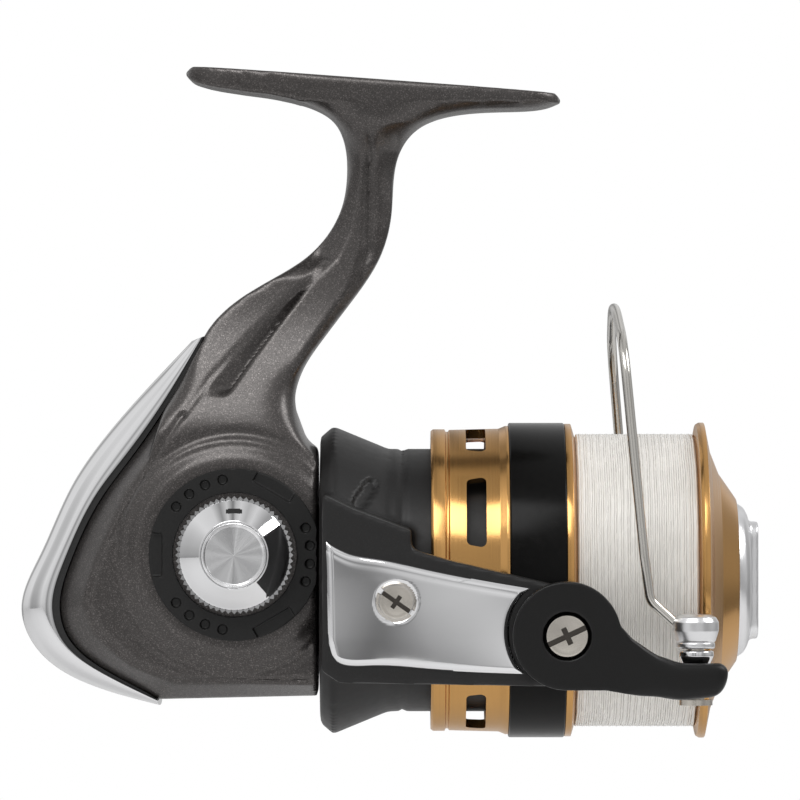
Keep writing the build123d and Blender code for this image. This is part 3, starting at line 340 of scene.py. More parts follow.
def monofilament(name, colour):
    """Clear nylon line: milky through its turns, with a wet gloss."""
    material, shader = principled(name, colour, 0.0, 0.3, IOR=1.53, Sheen_Weight=0.15)
    tree = material.node_tree
    streaks = object_noise(tree, 900.0, 4.0, (3.2, 0.35, 0.35))
    shades = ramp(tree, streaks, [(0.30, tint(colour, 0.95)), (0.52, colour), (0.70, tint(colour, 1.05))])
    tree.links.new(shades, shader.inputs["Base Color"])
    tree.links.new(span_value(tree, streaks, 0.16, 0.36), shader.inputs["Roughness"])
    return material


def felt(name, colour):
    """Oiled felt of the drag washers."""
    material, shader = principled(name, colour, 0.0, 0.9)
    tree = material.node_tree
    noise = object_noise(tree, 1800.0, 5.0)
    shades = ramp(tree, noise, [(0.3, tint(colour, 0.6)), (0.7, tint(colour, 1.2))])
    tree.links.new(shades, shader.inputs["Base Color"])
    add_bump(tree, shader, noise, 0.6, 0.0002)
    return material


FINISH = {}


def make_finishes():
    """One finish for each of the record's material slots."""
    tones = colours()
    disc_low, disc_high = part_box("cap_disc")
    FINISH.update({
        "case_paint": flake_paint("case_paint", tones.case),
        "rotor_paint": satin_paint("rotor_paint", tones.rotor),
        "bail_paint": satin_paint("bail_paint", tones.bail, 0.36, 0.06),
        "chrome": plating("chrome", (0.86, 0.86, 0.87), 0.04),
        "spun_metal": spun_disc("spun_metal", (0.80, 0.80, 0.81), (disc_low + disc_high) / 2),
        "steel": turned_metal("steel", (0.52, 0.51, 0.49), 0.30),
        "wire_steel": plating("wire_steel", (0.66, 0.64, 0.60), 0.16, 0.06),
        # The screws' recess colour is painted shade in their slots.
        "screw_nickel": plating("screw_nickel", (0.66, 0.62, 0.56), 0.20, 0.10, (0.10, 0.09, 0.08)),
        "zinc": plating("zinc", (0.50, 0.50, 0.51), 0.42, 0.12),
        "brass": turned_metal("brass", (0.72, 0.50, 0.20), 0.28),
        "gold_anodised": turned_metal("gold_anodised", tones.gold, 0.19, 5200.0, 0.6),
        "band_black": moulded("band_black", (0.003, 0.0028, 0.0026), 0.2, 0.02, 900.0,
                              Specular_IOR_Level=0.12),
        "nylon_line": monofilament("nylon_line", tones.line),
        "silver_knob": plating("silver_knob", (0.84, 0.84, 0.85), 0.27, 0.05),
        "black_plastic": moulded("black_plastic", (0.012, 0.012, 0.012), 0.45),
        "ring_plastic": moulded("ring_plastic", (0.009, 0.0088, 0.0086), 0.45, 0.3, 3400.0,
                                 Specular_IOR_Level=0.35),
        "handle_metal": satin_paint("handle_metal", (0.040, 0.038, 0.037), 0.34),
        "knob_rubber": moulded("knob_rubber", (0.016, 0.016, 0.016), 0.62, 0.4, 2000.0),
        "felt": felt("felt", (0.30, 0.26, 0.20)),
    })


# ------------------------------------------------------------------ mesh helpers
def link(name, mesh):
    """New object whose mesh already holds its place."""
    piece = bpy.data.objects.new(name, mesh)
    bpy.context.scene.collection.objects.link(piece)
    return piece


def close_mesh(mesh, reach=0.001 * MM):
    """Join points that lie within reach of each other, and turn the faces outward."""
    work = bmesh.new()
    work.from_mesh(mesh)
    bmesh.ops.remove_doubles(work, verts=work.verts, dist=reach)
    bmesh.ops.recalc_face_normals(work, faces=work.faces)
    work.to_mesh(mesh)
    work.free()


def mesh_from(name, points, faces, matrix=None):
    """Mesh from points in mm, placed by a matrix in metres."""
    mesh = bpy.data.meshes.new(name)
    mesh.from_pydata([Vector(point) * MM for point in points], [], faces)
    if matrix is not None:
        mesh.transform(matrix)
    close_mesh(mesh, 0.002 * MM)
    return mesh


def soften(points, radius, steps=4):
    """Round the corners of a closed outline in the plane."""
    result = []
    count = len(points)
    for index, point in enumerate(points):
        here = Vector(point)
        before = Vector(points[index - 1]) - here
        after = Vector(points[(index + 1) % count]) - here
        if before.length < 1e-6 or after.length < 1e-6:
            continue
        turn = before.angle(after)
        if turn > math.radians(172):
            result.append(tuple(here))
            continue
        reach = min(radius / math.tan(turn / 2), before.length * 0.45, after.length * 0.45)
        start = here + before.normalized() * reach
        end = here + after.normalized() * reach
        for step in range(steps + 1):
            share = step / steps
            near = start.lerp(here, share)
            far = here.lerp(end, share)
            result.append(tuple(near.lerp(far, share)))
    return result


def lathe(profile, segments=128):
    """Points and faces of a closed profile of (along, radius), turned about the first axis."""
    points = []
    rings = []
    for along, radius in profile:
        if radius < 1e-6:
            rings.append([len(points)] * segments)
            points.append((along, 0, 0))
            continue
        rings.append(list(range(len(points), len(points) + segments)))
        for number in range(segments):
            angle = 2 * math.pi * number / segments
            points.append((along, radius * math.cos(angle), radius * math.sin(angle)))
    faces = []
    for index in range(len(rings)):
        ring, after = rings[index], rings[(index + 1) % len(rings)]
        for number in range(segments):
            following = (number + 1) % segments
            corners = [ring[number], after[number], after[following], ring[following]]
            corners = list(dict.fromkeys(corners))
            if len(corners) > 2:
                faces.append(corners)
    return points, faces


def shade(mesh, angle=32.0):
    """Smooth shading with creases kept where faces turn by more than the angle."""
    mesh.polygons.foreach_set("use_smooth", [True] * len(mesh.polygons))
    mesh.set_sharp_from_angle(angle=math.radians(angle))


def finish_piece(piece, body, slot, *nodes, angle=32.0):
    """Give a finished mesh its finish, body and CAD nodes."""
    shade(piece.data, angle)
    piece.data.materials.clear()
    piece.data.materials.append(FINISH[slot])
    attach(piece, body)
    if nodes:
        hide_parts(*nodes)
    return piece


def turned_piece(name, profile, matrix, body, slot, *nodes, segments=128, rounding=0.25):
    """Piece turned from a closed profile with rounded edges."""
    points, faces = lathe(soften(profile, rounding), segments)
    return finish_piece(link(name, mesh_from(name, points, faces, matrix)), body, slot, *nodes)


def applied(piece):
    """Plain mesh of a piece with its modifiers worked in."""
    graph = bpy.context.evaluated_depsgraph_get()
    mesh = bpy.data.meshes.new_from_object(piece.evaluated_get(graph))
    piece.modifiers.clear()
    piece.data = mesh
    return piece


def skin_of(name, node, grid, rounds, prepare=None):
    """Cast or moulded skin over a CAD node: its edges are rolled over and its joins blended."""
    source = frame["nodes"][node].data.copy()
    work = bmesh.new()
    work.from_mesh(source)
    bmesh.ops.remove_doubles(work, verts=work.verts, dist=0.001 * MM)
    work.to_mesh(source)
    work.free()
    if prepare:
        prepare(source)
    piece = link(name, source)
    piece.data.materials.clear()
    remesh = piece.modifiers.new("skin", "REMESH")
    remesh.mode = "VOXEL"
    remesh.voxel_size = grid
    ease = piece.modifiers.new("ease", "SMOOTH")
    ease.factor = 0.5
    ease.iterations = rounds
    return applied(piece)


def shaft_points(mesh):
    """Vertex places of a mesh in the shaft frame, in mm."""
    places = np.empty(len(mesh.vertices) * 3)
    mesh.vertices.foreach_get("co", places)
    places = places.reshape(-1, 3)
    turn = np.array(TO_SHAFT.to_3x3())
    return (places @ turn.T + np.array(TO_SHAFT.translation)) / MM


def set_shaft_points(mesh, points):
    """Write vertex places given in the shaft frame, in mm."""
    turn = np.array(SHAFT.to_3x3())
    places = (points * MM) @ turn.T + np.array(SHAFT.translation)
    mesh.vertices.foreach_set("co", places.ravel())
    mesh.update()


def relax(mesh, points, weight, rounds):
    """Blend the surface over its neighbours where the weight is above 0."""
    ends = np.empty(len(mesh.edges) * 2, dtype=int)
    mesh.edges.foreach_get("vertices", ends)
    ends = ends.reshape(-1, 2)
    both = np.r_[ends[:, 0], ends[:, 1]], np.r_[ends[:, 1], ends[:, 0]]
    degree = np.bincount(both[0], minlength=len(points)).clip(1)
    for _ in range(rounds):
        mean = np.stack([
            np.bincount(both[0], points[both[1], axis], len(points)) for axis in range(3)
        ], axis=1) / degree[:, None]
        points = points + (mean - points) * weight[:, None]
    return points


def shaft_normals(mesh):
    """Vertex normals of a mesh in the shaft frame."""
    normals = np.empty(len(mesh.vertices) * 3)
    mesh.vertices.foreach_get("normal", normals)
    return normals.reshape(-1, 3) @ np.array(TO_SHAFT.to_3x3()).T


def ease_in(value):
    """Smooth step from 0 to 1."""
    value = np.clip(value, 0.0, 1.0)
    return value * value * (3 - 2 * value)


def line_distance(u, v, route):
    """Distance from points to an open line of straight runs."""
    best = np.full(u.shape, 1e9)
    for (au, av), (bu, bv) in zip(route, route[1:]):
        du, dv = bu - au, bv - av
        share = np.clip(((u - au) * du + (v - av) * dv) / (du * du + dv * dv), 0, 1)
        best = np.minimum(best, np.hypot(u - au - share * du, v - av - share * dv))
    return best


def follow(v, route):
    """Place along the shaft of an upward-running line, at each height."""
    heights = [point[1] for point in route]
    return np.interp(v, heights, [point[0] for point in route])


# ------------------------------------------------------------------ geometry node graphs
class Graph:
    """Geometry node group with named inputs that ends in a realised mesh with its finish."""

    def __init__(self, name, **values):
        self.tree = bpy.data.node_groups.new(name, "GeometryNodeTree")
        self.tree.interface.new_socket("Geometry", in_out="OUTPUT", socket_type="NodeSocketGeometry")
        self.tree.interface.new_socket("Geometry", in_out="INPUT", socket_type="NodeSocketGeometry")
        self.values = {}
        for label, value in values.items():
            kind = "NodeSocketInt" if isinstance(value, int) else "NodeSocketFloat"
            socket = self.tree.interface.new_socket(label, in_out="INPUT", socket_type=kind)
            self.values[socket.identifier] = value
        self.entry = self.tree.nodes.new("NodeGroupInput")

    def given(self, label):
        return self.entry.outputs[label]

    def add(self, kind, inputs=None, output=0, **settings):
        """Add a node, set its properties, feed its inputs and return one of its outputs."""
        node = self.tree.nodes.new(kind)
        for setting, value in settings.items():
            setattr(node, setting, value)
        for socket, value in (inputs or {}).items():
            if isinstance(value, bpy.types.NodeSocket):
                self.tree.links.new(value, node.inputs[socket])
            else:
                node.inputs[socket].default_value = value
        return node.outputs[output]

    def maths(self, operation, first, second=0.0):
        return self.add("ShaderNodeMath", {0: first, 1: second}, operation=operation)

    def join(self, *parts):
        node = self.tree.nodes.new("GeometryNodeJoinGeometry")
        for part in reversed(parts):
            self.tree.links.new(part, node.inputs[0])
        return node.outputs[0]

    def ring(self, part, count, first_angle):
        """Copies of a part turned about the first axis."""
        points = self.add("GeometryNodePoints", {"Count": count, "Radius": 0.0})
        index = self.add("GeometryNodeInputIndex")
        step = self.maths("DIVIDE", 2 * math.pi, count)
        angle = self.maths("ADD", self.maths("MULTIPLY", index, step), first_angle)
        rotation = self.add("ShaderNodeCombineXYZ", {"X": angle})
        return self.add("GeometryNodeInstanceOnPoints",
                        {"Points": points, "Instance": part, "Rotation": rotation})

    def run(self, piece, part, slot):
        """Finish the group on a piece and turn its result into a plain mesh."""
        realised = self.add("GeometryNodeRealizeInstances", {"Geometry": part})
        painted = self.add("GeometryNodeSetMaterial", {"Geometry": realised, "Material": FINISH[slot]})
        exit_node = self.tree.nodes.new("NodeGroupOutput")
        self.tree.links.new(painted, exit_node.inputs["Geometry"])
        modifier = piece.modifiers.new(self.tree.name, "NODES")
        modifier.node_group = self.tree
        for identifier, value in self.values.items():
            modifier[identifier] = value
        return applied(piece)


def shade_recess(mesh, rule):
    """Store how deep each vertex lies in a recess, from 0 to 1, for the finish to darken as painted shade."""
    depth = mesh.attributes.new("recess", "FLOAT", "POINT")
    depth.data.foreach_set("value", [min(1.0, max(0.0, rule(vertex.co))) for vertex in mesh.vertices])


def dome_profile(radius, low, high, crown):
    """Half profile of a disc with a crowned top, from low to high along its axis."""
    top = [(high + crown * (1 - (share / 6) ** 2), radius * 0.86 * share / 6) for share in range(7)]
    return [(low, 0.0), (low, radius), (high - crown * 0.2, radius), (high, radius * 0.95)] + top[::-1]


def screw_head(name, matrix, radius, low, high, slot_angle, body, cross=0.44):
    """Pan head with a straight slot through a cross recess; the slot is turned by slot_angle."""
    points, faces = lathe(dome_profile(radius, low, high - 0.12, 0.12), 64)
    piece = link(name, mesh_from(name, points, faces))
    graph = Graph(name, Depth=(high - low) * 1.1 * MM, Width=radius * 0.27 * MM, Reach=radius * 2.3 * MM,
                  Arm=radius * cross * 2 * MM, Angle=math.radians(slot_angle))
    cutters = []
    for length, turn in (("Reach", 0.0), ("Arm", math.pi / 2)):
        size = graph.add("ShaderNodeCombineXYZ", {
            "X": graph.given("Depth"), "Y": graph.given(length), "Z": graph.given("Width"),
        })
        bar = graph.add("GeometryNodeMeshCube", {"Size": size})
        angle = graph.maths("ADD", graph.given("Angle"), turn)
        rotation = graph.add("ShaderNodeCombineXYZ", {"X": angle})
        cutters.append(graph.add("GeometryNodeTransform", {
            "Geometry": bar, "Translation": (high * MM, 0, 0), "Rotation": rotation,
        }))
    cut = graph.given("Geometry")
    for cutter in cutters:
        cut = graph.add("GeometryNodeMeshBoolean", {"Mesh 1": cut, "Mesh 2": cutter},
                        operation="DIFFERENCE", solver="EXACT")
    graph.run(piece, cut, "screw_nickel")
    close_mesh(piece.data)
    lean = math.radians(slot_angle)

    # Painted shade: vertices deep in the slot or the cross get a high recess value, which darkens the slot
    # bottoms.
    def recess(place):
        across = abs(place.z * math.cos(lean) - place.y * math.sin(lean)) / MM
        inside = across < radius * 0.16 or math.hypot(place.y, place.z) < radius * 0.9 * MM
        return (high - 0.22 - place.x / MM) / 0.2 if inside else 0.0

    shade_recess(piece.data, recess)
    piece.data.transform(matrix)
    return finish_piece(piece, body, "screw_nickel", angle=28.0)


# ------------------------------------------------------------------ operators
# Lines on the stem and case, as places along and above the main shaft in mm
RECESS_FRONT = [(-1.4, 29.6), (2.8, 36.0), (7.8, 42.8), (13.4, 50.2)]
RECESS_REAR = [(-6.0, 29.6), (-0.4, 36.6), (6.2, 43.6), (13.2, 50.2)]
STRIP_REAR = [(12.8, 48.4), (16.6, 52.6), (18.8, 57.4), (20.0, 63.0), (20.4, 69.5)]
STEM_VALLEY = [(17.6, 45.5), (20.1, 50.1), (21.4, 54.0), (21.7, 60.0), (21.6, 68.0), (21.2, 75.0)]
STRIP_FRONT = [(8.6, 34.4), (12.8, 40.2), (16.8, 45.9), (20.6, 51.6), (22.0, 57.4), (21.9, 68.9)]
STEM_SEAM = [(-8.6, 26.9), (-4.0, 33.2), (1.4, 38.9), (6.9, 44.3), (13.7, 50.8), (18.8, 60.0), (20.4, 73.5)]
CREASE = [(-8.5, 27.5), (-12.6, 21.0), (-16.4, 15.2), (-22.2, 3.3), (-24.0, -3.4), (-22.2, -8.0),
          (-16.6, -13.1), (-9.8, -15.6)]


class REEL_OT_case(bpy.types.Operator):
    """Build the cast case with its foot, and the side cover"""

    bl_idname = "reel.case"
    bl_label = "Case and Foot"

    def execute(self, context):
        grid = sizes().casting_skin
        body = skin_of("case_with_foot", "body_frame", grid, 7)
        points = shaft_points(body.data)
        u, y, v = points.T
        # Blend the stem into the case below it and the foot above it
        seams = np.exp(-((v - 28.5) / 5.0) ** 2) * ease_in((np.abs(y) - 4) / 3) * ease_in((u + 13) / 4)
        seams = np.maximum(seams, np.exp(-((v - 71.5) / 5.5) ** 2) * (v < 78))
        points = relax(body.data, points, 0.85 * seams, 170)
        set_shaft_points(body.data, points)
        normals = shaft_normals(body.data)
        u, y, v = points.T
        outer = ease_in((np.abs(y) - 3.0) / 1.5) * ease_in((np.abs(normals[:, 1]) - 0.25) / 0.35)
        # Seam and recess at the stem's root
        seam = line_distance(u, v, STEM_SEAM)
        sink = 0.24 * np.exp(-(seam / 0.6) ** 2) * (v < 52)
        front, rear = follow(v, RECESS_FRONT), follow(v, RECESS_REAR)
        share = (front - u) / np.maximum(front - rear, 0.4)
        recess = ease_in(share / 0.22) * np.clip(1 - share, 0, 1) ** 0.8
        sink += 1.7 * recess * ease_in((v - 29.8) / 2.4) * ease_in((50.0 - v) / 5)
        # Two ribs up the stem: bevelled outer sides, with a valley between them
        before, behind = u - follow(v, STRIP_FRONT), follow(v, STRIP_REAR) - u
        upper = ease_in((75 - v) / 5)
        bevel = 0.135 * np.clip(before, 0, 4.3) * ease_in((v - 34) / 8) * upper
        bevel += 0.125 * np.clip(behind, 0, 3.5) * ease_in((v - 49) / 5) * upper
        valley = line_distance(u, v, STEM_VALLEY)
        sink += 1.25 * np.exp(-(valley / 0.85) ** 2) * ease_in((v - 46) / 7) * ease_in((76 - v) / 7)
        # Belt line, crease and the rounded step round the boss
        belt = np.exp(-((v + 15.9) / 0.42) ** 2) * ease_in((12.6 - u) / 1) * ease_in((u + 11) / 3)
        sink += 0.55 * belt * (y < 0)
        side = (np.abs(normals[:, 1]) > 0.25) & (v < 27.5)
        sink += np.where(side, 0.42 * np.exp(-(line_distance(u, v, CREASE) / 0.5) ** 2), 0)
        round_boss = np.hypot(u, v - DRIVE_RISE / MM)
        sink -= np.where(side & (u < 12.5), 0.22 * np.exp(-((round_boss - 18.3) / 0.6) ** 2), 0)
        sink += np.where(side & (u < 12.5), 0.30 * np.exp(-((round_boss - 19.6) / 0.8) ** 2), 0)
        points -= normals * (sink * outer)[:, None]
        points[:, 1] *= 1 - bevel
        set_shaft_points(body.data, points)
        finish_piece(body, "housing", "case_paint", "body_frame", angle=60.0)
        cover = skin_of("case_side_cover", "side_cover", grid, 7)
        finish_piece(cover, "housing", "case_paint", "side_cover", angle=60.0)
        return {"FINISHED"}


COVER_EDGE = [(-5.7, 39.7), (-12.4, 28.5), (-18.5, 20.0), (-22.7, 14.4), (-28.1, 3.3), (-30.0, -4.2),
              (-28.8, -8.8), (-21.3, -15.2), (-12.8, -19.4)]
COVER_CREST = [(-7.6, 39.0), (-15.5, 30.7), (-22.6, 22.4), (-27.0, 15.9), (-32.4, 4.2), (-35.5, -4.9),
               (-33.0, -11.2), (-23.2, -17.5), (-12.6, -20.4)]


def smooth_line(points, count):
    """Even points on a natural cubic line through the given ones."""
    route = np.array(points, float)
    steps = np.r_[0, np.cumsum(np.hypot(*np.diff(route, axis=0).T))]
    width = np.diff(steps)[:, None]
    size = len(route)
    system = np.eye(size)
    bends = np.zeros((size, 2))
    for index in range(1, size - 1):
        before, after = width[index - 1, 0], width[index, 0]
        system[index, index - 1:index + 2] = before, 2 * (before + after), after
        bends[index] = 6 * ((route[index + 1] - route[index]) / after
                            - (route[index] - route[index - 1]) / before)
    bends = np.linalg.solve(system, bends)
    wanted = np.linspace(0, steps[-1], count)
    place = np.clip(np.searchsorted(steps, wanted, side="right") - 1, 0, size - 2)
    gap = width[place]
    far = (wanted - steps[place])[:, None] / gap
    near = 1 - far
    return (near * route[place] + far * route[place + 1]
            + gap ** 2 / 6 * ((near ** 3 - near) * bends[place] + (far ** 3 - far) * bends[place + 1]))


class REEL_OT_rear_cover(bpy.types.Operator):
    """Build the bright cover behind the case, with the fine ridge round its sides"""

    bl_idname = "reel.rear_cover"
    bl_label = "Rear Cover"

    def execute(self, context):
        rows, columns = 110, 37
        edge, crest = smooth_line(COVER_EDGE, rows), smooth_line(COVER_CREST, rows)
        points, faces = [], []
        half = 9.0
        for row in range(rows):
            for column in range(columns):
                angle = math.pi * column / (columns - 1)
                side = math.cos(angle)
                depth = math.sin(angle) ** 0.78
                ridge = 0.22 * math.exp(-((abs(side) - 0.80) / 0.035) ** 2)
                place = edge[row] * (1 - depth * 0.985) + crest[row] * depth * 0.985
                points.append((place[0], side * (half - 0.3 + ridge), place[1]))
        for row in range(rows - 1):
            for column in range(columns - 1):
                here = row * columns + column
                faces.append([here, here + 1, here + columns + 1, here + columns])
        inner = len(points)
        for row in range(rows):
            for side in (half - 0.3, -half + 0.3):
                points.append((edge[row][0] + 0.05, side, edge[row][1]))
        for row in range(rows - 1):
            a, b = inner + 2 * row, inner + 2 * row + 1
            faces.append([a, a + 2, b + 2, b])
            faces.append([row * columns, (row + 1) * columns, a + 2, a])
            faces.append([row * columns + columns - 1, b, b + 2, (row + 1) * columns + columns - 1])
        for row in (0, rows - 1):
            rim = [row * columns + column for column in range(columns)]
            faces.append(rim + [inner + 2 * row + 1, inner + 2 * row])
        mesh = mesh_from("rear_shell", points, faces, SHAFT)
        finish_piece(link("rear_shell", mesh), "housing", "chrome", "rear_cover", angle=50.0)
        return {"FINISHED"}


class REEL_OT_boss_trim(bpy.types.Operator):
    """Build the dimpled ring round the boss"""

    bl_idname = "reel.boss_trim"
    bl_label = "Boss Ring"

    def execute(self, context):
        ring = skin_of("dimpled_ring", "boss_ring", 0.17 * MM, 2)
        finish_piece(ring, "housing", "ring_plastic", "boss_ring", angle=45.0)
        return {"FINISHED"}


class REEL_OT_screw_cap(bpy.types.Operator):
    """Build the knurled screw cap on the near side, and its spun disc"""

    bl_idname = "reel.screw_cap"
    bl_label = "Screw Cap"

    def execute(self, context):
        drive_v = DRIVE_RISE / MM
        near = outward_frame(0, 0, drive_v, -1)
        low, high = 17.4, 23.8
        points, faces = lathe(soften([
            (low, 3.45), (low, 8.85), (20.7, 8.85), (20.9, 8.6), (21.5, 8.1), (22.1, 7.5), (22.75, 6.8),
            (23.3, 6.1), (high, 5.55), (high, 5.3), (high - 0.5, 5.3), (high - 0.5, 0.0), (19.4, 0.0),
            (19.4, 3.45),
        ], 0.3, 4), 144)
        piece = link("screw_cap", mesh_from("screw_cap", points, faces))
        graph = Graph("knurl", Teeth=sizes().knurl_count, Height=0.70 * MM, Width=0.70 * MM, Length=3.2 * MM)
        size = graph.add("ShaderNodeCombineXYZ", {
            "X": graph.given("Length"), "Y": graph.given("Width"), "Z": graph.given("Height"),
        })
        block = graph.add("GeometryNodeMeshCube", {"Size": size})
        turned = graph.add("GeometryNodeTransform", {
            "Geometry": block, "Translation": (19.1 * MM, 0, 8.98 * MM), "Rotation": (math.pi / 4, 0, 0),
        })
        teeth = graph.ring(turned, graph.given("Teeth"), 0.0)
        graph.run(piece, graph.join(graph.given("Geometry"), teeth), "chrome")
        piece.data.transform(near)
        finish_piece(piece, "handle", "chrome", "handle_cap", angle=30.0)
        disc = [(23.35, 0.0), (23.35, 5.25), (23.85, 5.25), (23.95, 4.9), (23.72, 4.6), (23.86, 0.0)]
        turned_piece("spun_disc", disc, near, "handle", "spun_metal", "cap_disc", rounding=0.1)
        # Painted shade: a black block at the top of the cap stands for the dark of its notch.
        notch_shade = bpy.data.meshes.new("cap_notch_shade")
        work = bmesh.new()
        bmesh.ops.create_cube(work, size=1.0)
        bmesh.ops.bevel(work, geom=work.edges[:], offset=0.12, segments=2, affect="EDGES")
        bmesh.ops.scale(work, vec=(0.5 * MM, 1.1 * MM, 2.6 * MM), verts=work.verts)
        work.to_mesh(notch_shade)
        work.free()
        notch_shade.transform(near @ Matrix.Translation((22.55 * MM, 6.95 * MM, 0)))
        finish_piece(link("cap_notch_shade", notch_shade), "handle", "black_plastic")
        return {"FINISHED"}


class REEL_OT_rotor(bpy.types.Operator):
    """Build the rotor with its two arms"""

    bl_idname = "reel.rotor"
    bl_label = "Rotor"

    def execute(self, context):
        body = skin_of("rotor_casting", "rotor", sizes().casting_skin * 1.2, 5)
        points = shaft_points(body.data)
        u, y, v = points.T
        normals = shaft_normals(body.data)
        radius = np.hypot(y, v)
        wedge = line_distance(u, v, [(20.2, 13.2), (21.9, 15.8)]) < 1.1
        points -= normals * np.where(wedge & (y < 0) & (radius > 18), 0.7, 0)[:, None]
        wall = (radius > 20.5) & (np.abs(y) < 20) & (normals[:, 1] * y + normals[:, 2] * v > 0)
        points -= normals * np.where(wall, 0.35 * np.exp(-((u - 27.0) / 0.45) ** 2), 0)[:, None]
        set_shaft_points(body.data, points)
        finish_piece(body, "rotor", "rotor_paint", "rotor", angle=60.0)
        return {"FINISHED"}


ARM_COVER = [(14.9, 7.0), (18.7, 5.1), (23.0, 4.3), (30.1, 2.8), (49.0, -0.7)]
ARM_COVER_FOOT = [(15.0, -7.4), (16.5, -12.0), (22.0, -12.7), (30.1, -13.1), (49.0, -14.0)]
COVER_SCREW = (26.0, -2.5)


class REEL_OT_arm_covers(bpy.types.Operator):
    """Build the bright crowned covers of the rotor's arms"""

    bl_idname = "reel.arm_covers"
    bl_label = "Arm Covers"

    def execute(self, context):
        for side, node in ((-1, "arm_cover_near"), (1, "arm_cover_far")):
            self.plate(side, node)
        return {"FINISHED"}

    def plate(self, side, node):
        """Crowned plate between its top and foot lines, hollowed round the bail's disc in front."""
        hollow = 9.15
        columns, rows = 96, 48
        top = smooth_line(ARM_COVER, 200)
        foot = smooth_line(ARM_COVER_FOOT, 200)
        points, faces = [], []
        for column in range(columns):
            share = column / (columns - 1)
            for row in range(rows):
                height = row / (rows - 1)
                guess = 15.0 + 34.0 * share
                high_v = np.interp(guess, top[:, 0], top[:, 1])
                low_v = np.interp(guess, foot[:, 0], foot[:, 1])
                v = low_v + (high_v - low_v) * height
                reach = math.sqrt(max(hollow ** 2 - (v - PIVOT.z) ** 2, 0.0))
                front = PIVOT.x - reach
                rear = 14.9 + 0.35 * max(0.0, min(1.0, (5.0 - v) / 13.0)) + max(0.0, -8.5 - v) * 0.35
                u = rear + (front - rear) * share
                high_v = np.interp(u, top[:, 0], top[:, 1])
                low_v = np.interp(u, foot[:, 0], foot[:, 1])
                v = low_v + (high_v - low_v) * height
                edge = min((u - rear), (front - u), (v - low_v), (high_v - v))
                roll = 0.42 * (1 - ease_in(edge / 0.9)) ** 2
                lip = 0.07 * math.exp(-((high_v - v - 1.15) / 0.4) ** 2)
                crown = 0.42 * (1 - (2 * share - 1) ** 2) * (1 - 0.5 * (2 * height - 1) ** 2)
                seat = math.hypot(u - COVER_SCREW[0], v - COVER_SCREW[1])
                sink = 0.42 * (1 - ease_in((seat - 2.9) / 0.55))
                points.append((u, side * (33.52 + crown - roll - lip - sink * 0.9), v))
        outer = len(points)
        points += [(u, side * 33.02, v) for u, _, v in points]
        for column in range(columns - 1):
            for row in range(rows - 1):
                here = column * rows + row
                corners = [here, here + 1, here + rows + 1, here + rows]
                faces.append(corners)
                faces.append([corner + outer for corner in reversed(corners)])
        rim = list(range(rows))
        rim += [column * rows + rows - 1 for column in range(1, columns)]
        rim += [(columns - 1) * rows + row for row in range(rows - 2, -1, -1)]
        rim += [column * rows for column in range(columns - 2, 0, -1)]
        for here, there in zip(rim, rim[1:] + rim[:1]):
            faces.append([here, there, there + outer, here + outer])
        mesh = mesh_from(node + "_plate", points, faces, SHAFT)
        finish_piece(link(node + "_plate", mesh), "rotor", "chrome", node, angle=55.0)


class REEL_OT_screws(bpy.types.Operator):
    """Build the heads of the screws that show"""

    bl_idname = "reel.screws"
    bl_label = "Screws"

    def execute(self, context):
        for side in (-1, 1):
            label = "near" if side < 0 else "far"
            cover = outward_frame(COVER_SCREW[0], 0, COVER_SCREW[1], side)
            screw_head(f"cover_screw_{label}", cover, 2.62, 33.1, 34.38, -55.0 * side, "rotor")
            pivot = outward_frame(PIVOT.x, 0, PIVOT.z, side)
            screw_head(f"pivot_screw_{label}", pivot, 3.25, 35.75, 37.15, 65.0 * side, "rotor")
        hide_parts("arm_cover_screws")
        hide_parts("bail_pivot_screws")
        return {"FINISHED"}


class REEL_OT_bail(bpy.types.Operator):
    """Build the bail: its arm and far holder"""

    bl_idname = "reel.bail"
    bl_label = "Bail"

    def execute(self, context):
        arm = skin_of("bail_lever", "bail_arm", 0.24 * MM, 9)
        points = shaft_points(arm.data)
        tip = ease_in((points[:, 0] - PIVOT.x - 9) / 6)
        set_shaft_points(arm.data, relax(arm.data, points, 0.65 * tip, 70))
        finish_piece(arm, "bail", "bail_paint", "bail_arm", angle=60.0)
        holder = skin_of("bail_far_holder", "bail_holder", 0.26 * MM, 9)
        finish_piece(holder, "bail", "bail_paint", "bail_holder", angle=60.0)
        return {"FINISHED"}


class REEL_OT_roller(bpy.types.Operator):
    """Build the line roller and the wire's cone"""

    bl_idname = "reel.roller"
    bl_label = "Line Roller"

    def execute(self, context):
        place = basis(at(ROLLER.x, ROLLER.y, 0), UPWARD, FORWARD)
        turned_piece("wire_cone_cap", [(-10.0, 1.4), (-10.0, 3.1), (-9.2, 3.1), (-9.0, 2.95), (-8.8, 3.2),
                                       (-7.2, 3.7), (-5.8, 3.7), (-5.0, 3.25), (-4.6, 2.3), (-4.6, 0.0),
                                       (-6.0, 0.0), (-6.0, 1.4)], place, "bail", "silver_knob", "wire_cone",
                     rounding=0.45)
        turned_piece("line_guide", [(-16.0, 1.45), (-16.0, 2.9), (-15.0, 2.9), (-13.9, 2.35), (-12.5, 2.3),
                                    (-11.2, 2.9), (-10.3, 2.9), (-10.3, 1.45)], place, "roller", "chrome",
                     "line_roller", rounding=0.5)
        return {"FINISHED"}


